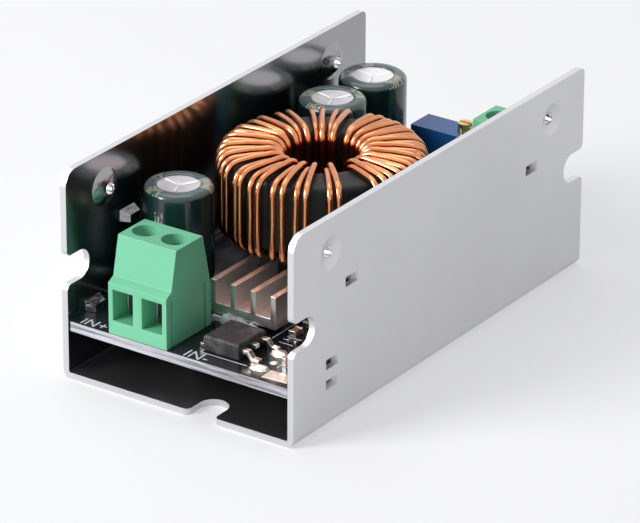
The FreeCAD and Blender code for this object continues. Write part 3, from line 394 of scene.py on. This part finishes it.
def turned(name, profile, x, y, finish, node, steps=96, closed=False, start=0.0,
           score=0.0):
    """profile: (radius, height) in mm; start: degrees; score: depth of the cut."""
    work = bmesh.new()
    strip = work.loops.layers.uv.new("wrap")
    rings = [ring_of(work, profile, x, y, 2 * math.pi * i / steps + math.radians(start),
                     0.0 if i % (steps // SCORE_ARMS) else score)
             for i in range(steps)]
    low, high = (pick(height for _, height in profile) for pick in (min, max))
    for index in range(steps):
        here, after = rings[index], rings[(index + 1) % steps]
        for k in range(len(profile) if closed else len(profile) - 1):
            n = (k + 1) % len(profile)
            face = work.faces.new((here[k], after[k], after[n], here[n]))
            face.smooth = True
            corners = ((index, k), (index + 1, k), (index + 1, n), (index, n))
            for loop, (turn, point) in zip(face.loops, corners):
                rise = (profile[point][1] - low) / (high - low)
                loop[strip].uv = (turn / steps, rise)
    bmesh.ops.remove_doubles(work, verts=work.verts, dist=1e-7)
    work.normal_update()
    bmesh.ops.recalc_face_normals(work, faces=work.faces)
    mesh = bpy.data.meshes.new(name)
    work.to_mesh(mesh)
    work.free()
    piece = piece_of(name, mesh, finish)
    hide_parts(node)
    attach(piece, HOME[node])
    print(name, len(mesh.polygons), "faces")


def rounded_section(corners, radius, steps=5):
    """A closed section with each corner rounded by an arc."""
    points = []
    for index, corner in enumerate(corners):
        here = Vector(corner)
        before = Vector(corners[index - 1]) - here
        after = Vector(corners[(index + 1) % len(corners)]) - here
        reach = min(radius, before.length * 0.49, after.length * 0.49)
        start = here + before.normalized() * reach
        end = here + after.normalized() * reach
        for k in range(steps + 1):
            t = k / steps
            points.append(tuple((1 - t) ** 2 * start + 2 * t * (1 - t) * here
                                + t * t * end))
    return points


print("a can's top is scored in", SCORE_ARMS, "arms")

# %% [markdown]
# The core is a pressed ring under a thick matt coating, which rounds its edges and
# leaves a fine orange peel. The ring is turned from its rounded section.

# %% Choke core
CHOKE = (0.0, -1.7)
BORE_R, RIM_R, CORE_LOW, CORE_TOP = 7.25, 13.45, 16.3, 27.4

coating = Finish("powder_core", Specular_IOR_Level=0.3)
peel = coating.noise(1300, detail=4.0)
coating.toned(peel, (0.007, 0.007, 0.008), (0.022, 0.022, 0.023), (0.2, 0.40))
coating.bump(peel, 0.05)
core_section = rounded_section([(BORE_R, CORE_LOW), (RIM_R, CORE_LOW),
                                (RIM_R, CORE_TOP), (BORE_R, CORE_TOP)], 1.0)
turned("choke_core_ring", core_section, *CHOKE, coating, "choke_core", closed=True)

# %% [markdown]
# A shape that follows a rule suits Geometry Nodes. A tree that is built in a script
# needs inputs, nodes and an end, and a small class holds them. The tree ends in Realize
# Instances and Set Material, and its result is kept as a plain mesh, because an export
# knows no instances.

# %% Helper: a Geometry Nodes tree
class Growth:
    """A tree that ends in Realize Instances and Set Material."""
    def __init__(self, name):
        self.name = name
        self.tree = bpy.data.node_groups.new(name, "GeometryNodeTree")
        self.tree.is_modifier = True
        for way in ("INPUT", "OUTPUT"):
            self.tree.interface.new_socket("Geometry", in_out=way,
                                           socket_type="NodeSocketGeometry")
        self.inlet = self.tree.nodes.new("NodeGroupInput")
        self.outlet = self.tree.nodes.new("NodeGroupOutput")
        self.values = {}

    def size(self, name, value):
        item = self.tree.interface.new_socket(name, in_out="INPUT",
                                              socket_type="NodeSocketFloat")
        self.values[item.identifier] = value
        return self.inlet.outputs[item.identifier]

    def start(self):
        return self.inlet.outputs["Geometry"]

    def add(self, kind, settings=(), sockets=()):
        node = self.tree.nodes.new("GeometryNode" + kind)
        for key, value in dict(settings).items():
            setattr(node, key, value)
        for key, value in dict(sockets).items():
            if isinstance(value, bpy.types.NodeSocket):
                self.tree.links.new(value, node.inputs[key])
            else:
                node.inputs[key].default_value = value
        return node.outputs[0]

    def grow(self, geometry, finish, seed_mesh, body, *nodes):
        """Run the tree on a mesh and keep the result as one plain piece."""
        real = self.add("RealizeInstances", sockets={0: geometry})
        last = self.add("SetMaterial", sockets={0: real, "Material": finish.material})
        self.tree.links.new(last, self.outlet.inputs[0])
        seed = bpy.data.objects.new(self.name + "_seed", seed_mesh)
        bpy.context.collection.objects.link(seed)
        modifier = seed.modifiers.new(self.name, "NODES")
        modifier.node_group = self.tree
        for identifier, value in self.values.items():
            modifier[identifier] = value
        view = bpy.context.evaluated_depsgraph_get()
        mesh = bpy.data.meshes.new_from_object(seed.evaluated_get(view))
        bpy.data.objects.remove(seed)
        piece = piece_of(self.name, mesh, finish)
        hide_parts(*nodes)
        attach(piece, body)
        print(self.name, len(mesh.polygons), "faces")


print("trees grow from a mesh of points and lines")

# %% [markdown]
# The winding is the piece that everybody looks at. On the real choke two enamelled
# wires are threaded through the ring side by side, and every turn follows one rule: up
# the outside, over the top, down the bore and back underneath. The turns could be
# spread evenly. But they are wound by hand and gather in clusters, so their angles are
# a list. A small seeded lean keeps them from looking printed.

# %% The way of each wire
TURNS = [-23.5 + 6.5 * i for i in range(19)]
TURNS += [109.0, 115.5, 124.5, 131.5, 145.5, 152.5, 164.5, 171.5]
TURNS += [182.5 + 7.1 * i for i in range(9)]
TURNS += [249.5, 253.5, 261.5, 267.5, 276.5, 282.6, 290.5, 296.1, 309.1, 313.8]
LAST_GAP = 7.1                          # degrees from the last turn to the tail
OUTER_R, CROWN_R, INNER_R = 15.05, 10.6, 6.65
UNDER, MIDDLE, OVER = 15.75, 22.0, 27.95
TAIL_R, TAIL_Z = 15.0, 6.35
STEP_IN, STEP_UP = 0.95, 0.5            # the second wire lies on the first in the bore
SEED = 7


def strand(layer):
    """Corner points of one wire in mm, from its tail under the board round each turn."""
    chance = random.Random(SEED + layer)
    inner_painted_shade, lift = INNER_R - STEP_IN * layer, STEP_UP * layer

    def spot(angle, radius, level, wander=0.0):
        way = math.radians(angle + chance.uniform(-wander, wander))
        return (CHOKE[0] + radius * math.cos(way), CHOKE[1] + radius * math.sin(way),
                level)

    angles = TURNS[layer::2]
    points = [spot(angles[0], TAIL_R, TAIL_Z)]
    for index, angle in enumerate(angles):
        lean = chance.uniform(-0.6, 0.6)
        if index:
            points.append(spot(angle + lean, OUTER_R, UNDER))
        points += [spot(angle, OUTER_R, MIDDLE, 0.7), spot(angle, OUTER_R, OVER, 0.3),
                   spot(angle, CROWN_R, OVER + 0.12 + lift * 0.6, 0.7),
                   spot(angle, inner_painted_shade, OVER + lift), spot(angle, inner_painted_shade, UNDER - lift)]
    end = angles[-1] + LAST_GAP
    return points + [spot(end, TAIL_R, UNDER), spot(end, TAIL_R, TAIL_Z)]


wires = bpy.data.meshes.new("strand_paths")
spots, runs = [], []
for line in (strand(0), strand(1)):
    runs += [(len(spots) + i, len(spots) + i + 1) for i in range(len(line) - 1)]
    spots += [tuple(v * MM for v in point) for point in line]
wires.from_pydata(spots, runs, [])
print(len(TURNS), "turns on", len(spots), "corner points")

# %% [markdown]
# The tree takes the corner points of both wires, rounds the corners, samples the path
# and sweeps a circle along it. A bevelled curve could do that too, but in a tree the
# wire's radius, its bends and its samples are named inputs that can be tried at once.
# Enamelled copper is a metal under a clear lacquer, so the finish has a coat.

# %% Choke winding
copper = Finish("copper_wire", Metallic=1.0, Coat_Weight=0.4, Coat_Roughness=0.08)
copper.toned(copper.noise(260, detail=2.0), (0.52, 0.17, 0.07), (0.84, 0.37, 0.16),
             (0.12, 0.12))
winding = Growth("copper_winding")
wire_radius = winding.size("Wire radius", 0.47 * MM)
bend = winding.size("Corner bend", 2.1 * MM)
step = winding.size("Sample spacing", 0.55 * MM)
path = winding.add("MeshToCurve", sockets={0: winding.start()})
path = winding.add("FilletCurve", {"mode": "POLY"}, {0: path, "Count": 6, "Radius": bend,
                                                     "Limit Radius": True})
path = winding.add("ResampleCurve", {"mode": "LENGTH"}, {0: path, "Length": step})
section = winding.add("CurvePrimitiveCircle",
                      sockets={"Resolution": 10, "Radius": wire_radius})
tube = winding.add("CurveToMesh", sockets={0: path, 1: section, "Fill Caps": True})
tube = winding.add("SetShadeSmooth", sockets={0: tube})
winding.grow(tube, copper, wires, HOME["choke_winding"], "choke_winding")

# %% [markdown]
# A can capacitor is an aluminium can in a shrunk plastic sleeve. The sleeve follows the
# rolled groove near the foot and folds over the shoulder, where it leaves the scored
# top bare. The pale stripe, its minus marks and the printed bars could be pieces of
# their own, but print has no thickness, so they are masks on the coordinates that wrap
# round the sleeve: u once round it, v from its foot to its fold.

# %% Finish of the sleeve
STRIPE_U = 0.33
MARKS = 6.0                             # minus marks over the whole height
FINE_BARS = 58.0                        # printed bars once round the sleeve

sleeve = Finish("sleeve_green", Coat_Weight=0.5, Coat_Roughness=0.06)
wrap = sleeve.add("UVMap", {"uv_map": "wrap"})
u, v = (sleeve.add("SeparateXYZ", sockets={0: wrap}, out=way) for way in ("X", "Y"))
cloud = sleeve.noise(140, detail=2.0)


def patch(left, right, low, high):
    return (u > left) * (u < right) * (v > low) * (v < high)


printed = (patch(0.44, 0.53, 0.975, 1.1) + patch(0.02, 0.17, 0.955, 1.1)
           + patch(0.645, 0.74, 0.97, 1.1) + patch(0.725, 0.775, 0.70, 0.83))
strokes = ((u * FINE_BARS).fraction() > 0.45) * (sleeve.noise(1500, detail=1.0) > 0.42)
minus = (abs((v * MARKS).fraction() - 0.5) < 0.06) * (abs(u - STRIPE_U) < 0.02)
stripe = patch(0.28, 0.38, 0.12, 0.955) * (1 - minus)
plastic = sleeve.mix(cloud, (0.003, 0.022, 0.021), (0.006, 0.038, 0.035))
plastic = sleeve.mix(sleeve.band(v, 0.955, 0.985), plastic, (0.030, 0.075, 0.072))
gold = sleeve.mix(cloud, (0.42, 0.42, 0.26), (0.60, 0.58, 0.40))
sleeve.feed(Base_Color=sleeve.mix(printed * strokes + stripe, plastic, gold),
            Roughness=cloud * 0.10 + 0.17)
sleeve.bump(cloud, 0.04)
print("stripe at", STRIPE_U, "of the way round")

# %% [markdown]
# The cans and sleeves are turned from the profiles below. Each sleeve starts at its own
# angle, because on a real board the stripes face where the polarity asks, and the
# prints don't line up.

# %% Capacitors
SKIN_OUTSIDE = [(4.98, 9.30), (5.12, 9.45), (5.15, 9.9), (5.15, 10.6), (4.98, 10.95),
                (4.80, 11.2), (4.98, 11.5), (5.14, 11.9), (5.15, 13.0), (5.15, 24.75),
                (5.09, 25.15), (4.9, 25.45), (4.60, 25.66), (4.30, 25.74), (3.7, 25.75),
                (3.15, 25.70), (3.12, 25.62)]
SKIN_INSIDE = [(3.12, 25.60), (4.4, 25.5), (4.85, 25.0), (4.85, 13.0), (4.7, 11.2),
               (4.85, 9.6), (4.85, 9.3)]
SHELL = [(0.0, 10.6), (4.6, 10.6), (4.6, 9.0), (4.9, 9.05), (4.95, 9.6), (4.84, 10.4),
         (4.68, 11.2), (4.84, 12.2), (4.84, 24.6), (4.78, 25.2), (4.3, 25.55),
         (3.1, 25.58), (2.6, 25.54), (1.3, 25.50), (0.4, 25.45), (0.0, 25.42)]
SCORE_TURN, SCORE_DEPTH = 54, 0.14
AROUND = 72
CAN_X = -12.4
CANS = (("front", -19.7, 0), ("middle", 19.0, 20), ("back", 29.7, -35))

can = Finish("can_aluminium", Metallic=1.0)
haze = can.noise(700)
can.toned(haze, (0.84, 0.81, 0.85), (0.93, 0.91, 0.94), (0.18, 0.24))
can.bump(haze, 0.01)
rubber = Finish("bung_rubber", Base_Color=(0.02, 0.02, 0.02))
rubber.feed(Roughness=rubber.noise(500) * 0.2 + 0.6)
for place, can_y, sleeve_turn in CANS:
    turned(place + "_sleeve_skin", SKIN_OUTSIDE + SKIN_INSIDE, CAN_X, can_y, sleeve,
           place + "_capacitor_sleeve", AROUND, closed=True, start=sleeve_turn)
    turned(place + "_can_shell", SHELL, CAN_X, can_y, can, place + "_capacitor_can",
           AROUND, start=SCORE_TURN, score=SCORE_DEPTH)
    dressed(place + "_capacitor_bung", rubber, 0.1)
    painted(place + "_capacitor_leads", tinned)

# %% [markdown]
# The heat sink is a short extrusion. Its fins keep the fine lines of the die along
# their length and mirror the copper above them, so a stretched noise streaks a smooth
# metal. It sits in a lumpy white adhesive on two flat transistors.

# %% Heat sink, glue and transistors
fins = Finish("sink_aluminium", Metallic=1.0)
die = fins.noise(1200, (1.0, 0.02, 1.0))
fins.toned(die, (0.80, 0.74, 0.72), (0.93, 0.89, 0.87), (0.12, 0.30))
fins.bump(die, 0.008)
dressed("heat_sink", fins, 0.07)
glue = Finish("white_adhesive", Roughness=0.4, Subsurface_Weight=0.15)
lump = glue.noise(220)
glue.toned(lump, (0.82, 0.83, 0.85), (0.92, 0.93, 0.94))
glue.bump(lump + glue.noise(900) * 0.3, 0.35)
dressed("thermal_adhesive", glue, 0.25, 3)
black = Finish("moulding_black", Specular_IOR_Level=0.4)
matt = black.noise(1600)
black.toned(matt, (0.024, 0.023, 0.026), (0.045, 0.043, 0.046), (0.16, 0.42))
black.bump(matt, 0.02)
dressed("power_transistors", black, 0.06)

# %% [markdown]
# Pressing the sink down squeezes a bead of the glue out in front of it. It is too soft
# and uneven for a solid. A half-round section walks along it, and two waves make it
# swell and narrow before it dies away at both ends.

# %% A bead of the glue, squeezed out in front
BEAD_STEPS, BEAD_SIDES = 40, 8
BEAD_FROM, BEAD_LENGTH, BEAD_Y, BEAD_Z = -1.6, 7.0, -24.9, 9.02

work, rings = bmesh.new(), []
for k in range(BEAD_STEPS + 1):
    t = k / BEAD_STEPS
    ends = math.sin(math.pi * min(1.0, 0.04 + t * 6, 0.04 + (1 - t) * 8) / 2)
    wide = (0.62 - 0.22 * t) * ends
    wide *= 1 + 0.12 * math.sin(17 * t) + 0.07 * math.sin(41 * t + 1)
    x, y = BEAD_FROM + BEAD_LENGTH * t, BEAD_Y - 0.12 * math.sin(9 * t)
    arc = [math.pi * side / BEAD_SIDES for side in range(BEAD_SIDES + 1)]
    rings.append([work.verts.new((x * MM, (y + wide * 1.1 * math.cos(a)) * MM,
                                  (BEAD_Z + wide * 2.1 * max(0.0, math.sin(a))) * MM))
                  for a in arc])
for here, after in zip(rings, rings[1:]):
    for j in range(BEAD_SIDES):
        work.faces.new((here[j], after[j], after[j + 1], here[j + 1])).smooth = True
bmesh.ops.recalc_face_normals(work, faces=work.faces)
bead = bpy.data.meshes.new("glue_bead")
work.to_mesh(bead)
work.free()
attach(piece_of("glue_bead", bead, glue), HOME["thermal_adhesive"])
print("bead of", len(bead.polygons), "faces")

# %% [markdown]
# The rectifier, the chips and the small parts are moulded epoxy or ceramic with tinned
# leads. Their solids are right, so they only get soft edges and a finish. The rectifier
# is nearest to the camera, so its mottled, slightly greyed top has a finish of its own.

# %% Rectifier, chips and small parts
epoxy = Finish("epoxy_top", Specular_IOR_Level=0.4)
mottle = epoxy.noise(420, detail=5.0, rough=0.7)
epoxy.feed(Base_Color=epoxy.mix(epoxy.band(mottle, 0.42, 0.68), (0.016, 0.015, 0.018),
                                (0.085, 0.082, 0.088)),
           Roughness=mottle * 0.3 + 0.35)
epoxy.bump(mottle, 0.03)
dressed("rectifier_body", epoxy, 0.06)
for name in ("controller_chip", "amplifier_chip", "current_shunt", "chip_resistors"):
    dressed(name, black, 0.06)
for name in ("rectifier_leads", "controller_chip_leads", "amplifier_chip_leads",
             "chip_part_ends"):
    dressed(name, tinned, 0.05)
brown = Finish("ceramic_brown", Specular_IOR_Level=0.5)
brown.toned(brown.noise(1500), (0.17, 0.075, 0.045), (0.30, 0.15, 0.09), (0.1, 0.3))
dressed("chip_capacitors", brown, 0.07)

# %% [markdown]
# The trimmer is a blue moulded box with a brass adjusting screw. As on the terminals,
# a broad noise clouds the colour and a fine one gives the grain of the mould.

# %% Trimmer
blue = Finish("trimmer_blue", Specular_IOR_Level=0.5)
blue.toned(blue.noise(300, detail=2.0), (0.011, 0.075, 0.26), (0.016, 0.10, 0.33),
           (0.1, 0.28))
blue.bump(blue.noise(2200, detail=1.0), 0.005)
brass = Finish("brass", Metallic=1.0)
brass.toned(brass.noise(1500), (0.62, 0.42, 0.15), (0.88, 0.66, 0.30), (0.15, 0.2))
dressed("trimmer_body", blue, 0.16, 3)
dressed("trimmer_screw", brass, 0.06)
painted("trimmer_pins", tinned)

# %% [markdown]
# White print and tinned pads lie on the mask. They could be painted by a mask too, but
# the mask has no coordinates of its own for letters, and solder stands up from it. So
# letters are a text curve turned into a mesh, strokes are thin strips, and a solder
# joint is its outline, raised to a low dome in a few rings.

# %% Helpers: print and solder on the board
BOARD_TOP, PRINT_LIFT, SOLDER_LIFT = 9.0, 0.012, 0.01
STROKE_WIDTH = 0.2
DOME_RINGS = 4
LETTER_SCALE = 1.37                     # text size to the height of a capital


def laid(name, finish, faces):
    """faces: lists of (x, y, z) in mm; one mesh that rides with the board."""
    mesh, spots, sides = bpy.data.meshes.new(name), [], []
    for face in faces:
        sides.append(range(len(spots), len(spots) + len(face)))
        spots += [(x * MM, y * MM, z * MM) for x, y, z in face]
    mesh.from_pydata(spots, [], sides)
    piece = piece_of(name, mesh, finish)
    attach(piece, HOME["circuit_board"])
    print(name, len(faces), "faces")
    return piece


def stroke(x1, y1, x2, y2):
    way = Vector((x2 - x1, y2 - y1)).normalized() * STROKE_WIDTH / 2
    level = BOARD_TOP + PRINT_LIFT
    return [(x1 + way.y, y1 - way.x, level), (x2 + way.y, y2 - way.x, level),
            (x2 - way.y, y2 + way.x, level), (x1 - way.y, y1 + way.x, level)]


def dome(outline, height):
    cx, cy = (sum(p[i] for p in outline) / len(outline) for i in (0, 1))
    faces, last = [], None
    for k in range(DOME_RINGS + 1):
        share = 1 - k / (DOME_RINGS + 0.6)
        level = BOARD_TOP + SOLDER_LIFT + height * math.sqrt(1 - share * share)
        ring = [(cx + (x - cx) * share, cy + (y - cy) * share, level)
                for x, y in outline]
        if last:
            faces += [[last[i - 1], last[i], ring[i], ring[i - 1]]
                      for i in range(len(ring))]
        last = ring
    return faces + [last]


def words(name, body, x, y, height, turn=0.0):
    text = bpy.data.curves.new(name, "FONT")
    text.body, text.size = body, height * LETTER_SCALE * MM
    letters = bpy.data.objects.new(name, text)
    bpy.context.collection.objects.link(letters)
    mesh = bpy.data.meshes.new_from_object(letters)
    bpy.data.objects.remove(letters)
    c, s = math.cos(math.radians(turn)), math.sin(math.radians(turn))
    for vertex in mesh.vertices:
        u, v = vertex.co.x, vertex.co.y
        vertex.co = (x * MM + u * c - v * s, y * MM + u * s + v * c,
                     (BOARD_TOP + PRINT_LIFT) * MM)
    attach(piece_of(name, mesh, ink), HOME["circuit_board"])
    print(name, "says", body)


print("print lies", PRINT_LIFT, "mm above the board")

# %% [markdown]
# The print names the poles and rules lines round the parts. Screen ink is a little
# rough and uneven, so it is not a pure white.

# %% Print on the board
ink = Finish("print_white", Specular_IOR_Level=0.3)
ink.toned(ink.noise(900), (0.55, 0.56, 0.58), (0.80, 0.81, 0.83), (0.2, 0.45))
words("print_in_minus", "IN-", 0.5, -37.0, 2.2)
words("print_in_plus", "IN+", -17.6, -36.9, 2.0)
words("print_out_minus", "OUT-", 5.8, 36.9, 1.9, 180)
words("print_out_plus", "OUT+", 18.6, 24.6, 1.9, 180)
laid("board_print", ink, [stroke(*ends) for ends in (
    (2.26, -34.7, 10.12, -34.64), (2.2, -34.7, 2.2, -33.9),
    (13.91, -32.75, 13.89, -30.04), (7.85, -25.3, 7.85, -18.0),
    (9.3, -25.7, 11.7, -25.7), (9.3, -24.6, 11.7, -24.6), (9.3, -23.6, 11.7, -23.6),
    (14.6, -32.7, 15.2, -31.4), (14.6, -27.3, 17.6, -27.3), (17.6, -27.3, 17.6, -24.0),
    (-17.8, -13.2, -7.0, -13.2), (-17.8, -26.2, -7.0, -26.2))])

# %% [markdown]
# The wide leads of the rectifier stand in two full joints of solder, and two pads only
# have a thin film of tin. Round blobs would do from afar. Here each outline is a list
# of points, because solder fills its pad up to the corners. All four are one mesh.

# %% Pads and solder on the board
FRONT_JOINT = [(10.46, -34.39), (11.1, -33.6), (11.83, -33.43), (13.0, -33.5),
               (13.48, -33.83), (13.4, -34.5), (12.93, -34.98), (11.43, -35.27),
               (10.7, -35.0)]
REAR_JOINT = [(10.17, -29.14), (10.9, -28.1), (12.12, -27.76), (12.9, -28.4),
              (13.22, -29.34), (12.5, -29.9), (11.55, -30.12), (10.6, -29.8)]
CORNER_PAD = [(13.6, -33.75), (16.43, -33.68), (17.94, -36.07), (13.73, -36.35)]
ROUND_PAD = [(12.6 + 0.6 * math.cos(a * math.pi / 8),
              -31.7 + 0.6 * math.sin(a * math.pi / 8)) for a in range(16)]

fillet = Finish("solder_fillet", Metallic=1.0)
flow = fillet.noise(500)
fillet.toned(flow, (0.74, 0.72, 0.68), (0.92, 0.91, 0.86), (0.2, 0.26))
fillet.bump(flow, 0.05)
joints = []
for outline, height in ((FRONT_JOINT, 0.55), (REAR_JOINT, 0.55), (CORNER_PAD, 0.06),
                        (ROUND_PAD, 0.05)):
    joints += dome(outline, height)
pads = laid("board_solder", fillet, joints)
for face in pads.data.polygons:
    face.use_smooth = True

# %% [markdown]
# Under the board each pin ends in a cone of solder, and a soft grey pad carries heat
# to the base. Nobody sees them in the photograph, but the part is used from all sides.

# %% Solder and gap pad
solder = Finish("solder", Metallic=1.0)
ripple = solder.noise(600)
solder.toned(ripple, (0.62, 0.62, 0.62), (0.86, 0.86, 0.84), (0.12, 0.14))
solder.bump(ripple, 0.05)
dressed("solder_joints", solder, 0.12, 3)
pad = Finish("pad_grey", Roughness=0.75)
weave = pad.noise(700)
pad.toned(weave, (0.36, 0.38, 0.41), (0.48, 0.50, 0.53))
pad.bump(weave, 0.06)
dressed("gap_pad", pad, 0.3, 3)

# %% [markdown]
# A pale floor, a large soft lamp from the left front and a weaker one overhead give the
# even light of a product photograph. More light would turn the floor white, but it
# would bleach the parts as well. So the floor and the world glow only for the rays of
# the camera, of mirrors and of glass, and the light on the parts stays plain.

# %% Helper: what the camera, mirrors and glass see
def seen_directly(tree):
    """1 for the rays that show the surroundings, 0 for those that light the parts."""
    eye_ray, mirror, glass = (tree.add("LightPath", out="Is %s Ray" % kind)
                              for kind in ("Camera", "Glossy", "Transmission"))
    return eye_ray.most(mirror).most(glass)


print("three kinds of ray see the surroundings")

# %% Floor
FLOOR_REACH = 3
FLOOR_GLOW = 0.45                       # share of plain white in what is seen of it

paper = Finish("paper_floor", Base_Color=(0.93, 0.93, 0.955), Roughness=0.6,
               Specular_IOR_Level=0.2)
glow = paper.add("Emission", sockets={0: (1.0, 1.0, 1.0)})
paper.blend(seen_directly(paper) * FLOOR_GLOW, Signal(paper, paper.shader.outputs[0]),
            glow, "Material Output")
floor_mesh = bpy.data.meshes.new("floor")
floor_mesh.from_pydata([(FLOOR_REACH * x, FLOOR_REACH * y, 0)
                        for x, y in ((-1, -1), (1, -1), (1, 1), (-1, 1))],
                       [], [(0, 1, 2, 3)])
floor_mesh.materials.append(paper.material)
floor = bpy.data.objects.new("floor", floor_mesh)
bpy.context.collection.objects.link(floor)
print("floor of", 2 * FLOOR_REACH, "m")

# %% [markdown]
# Two square lamps are enough. The large soft one stands at the left front and leaves
# the right wall in half shade, as in the photograph, and the weak one overhead lifts
# the tops. The sky fills the shadows with a little blue.

# %% Lamps and world
AIM = (0, 0, 0.012)
SKY_COLOUR, SKY_STRENGTH = (0.90, 0.92, 1.0), 0.30


def lamp(name, place, side, power):
    light = bpy.data.lights.new(name, "AREA")
    light.shape, light.size, light.energy = "SQUARE", side, power
    holder = bpy.data.objects.new(name, light)
    holder.location = place
    way = Vector(AIM) - Vector(place)
    holder.rotation_euler = way.to_track_quat("-Z", "Y").to_euler()
    bpy.context.collection.objects.link(holder)
    print(name, power, "W")


lamp("front_left_lamp", (-0.55, -0.80, 0.50), 0.5, 11.5)
lamp("overhead_lamp", (-0.20, 0.14, 0.78), 0.6, 1.9)
world = bpy.data.worlds.new("studio")
bpy.context.scene.world = world
world.use_nodes = True
sky = Tree(world.node_tree)
air = sky.nodes["Background"]
sky.set(air, {0: SKY_COLOUR, 1: SKY_STRENGTH})
white = sky.add("Background", sockets={0: (1.0, 1.0, 1.0), 1: 1.0})
sky.blend(seen_directly(sky), Signal(sky, air.outputs[0]), white, "World Output")
print("sky at", SKY_STRENGTH)
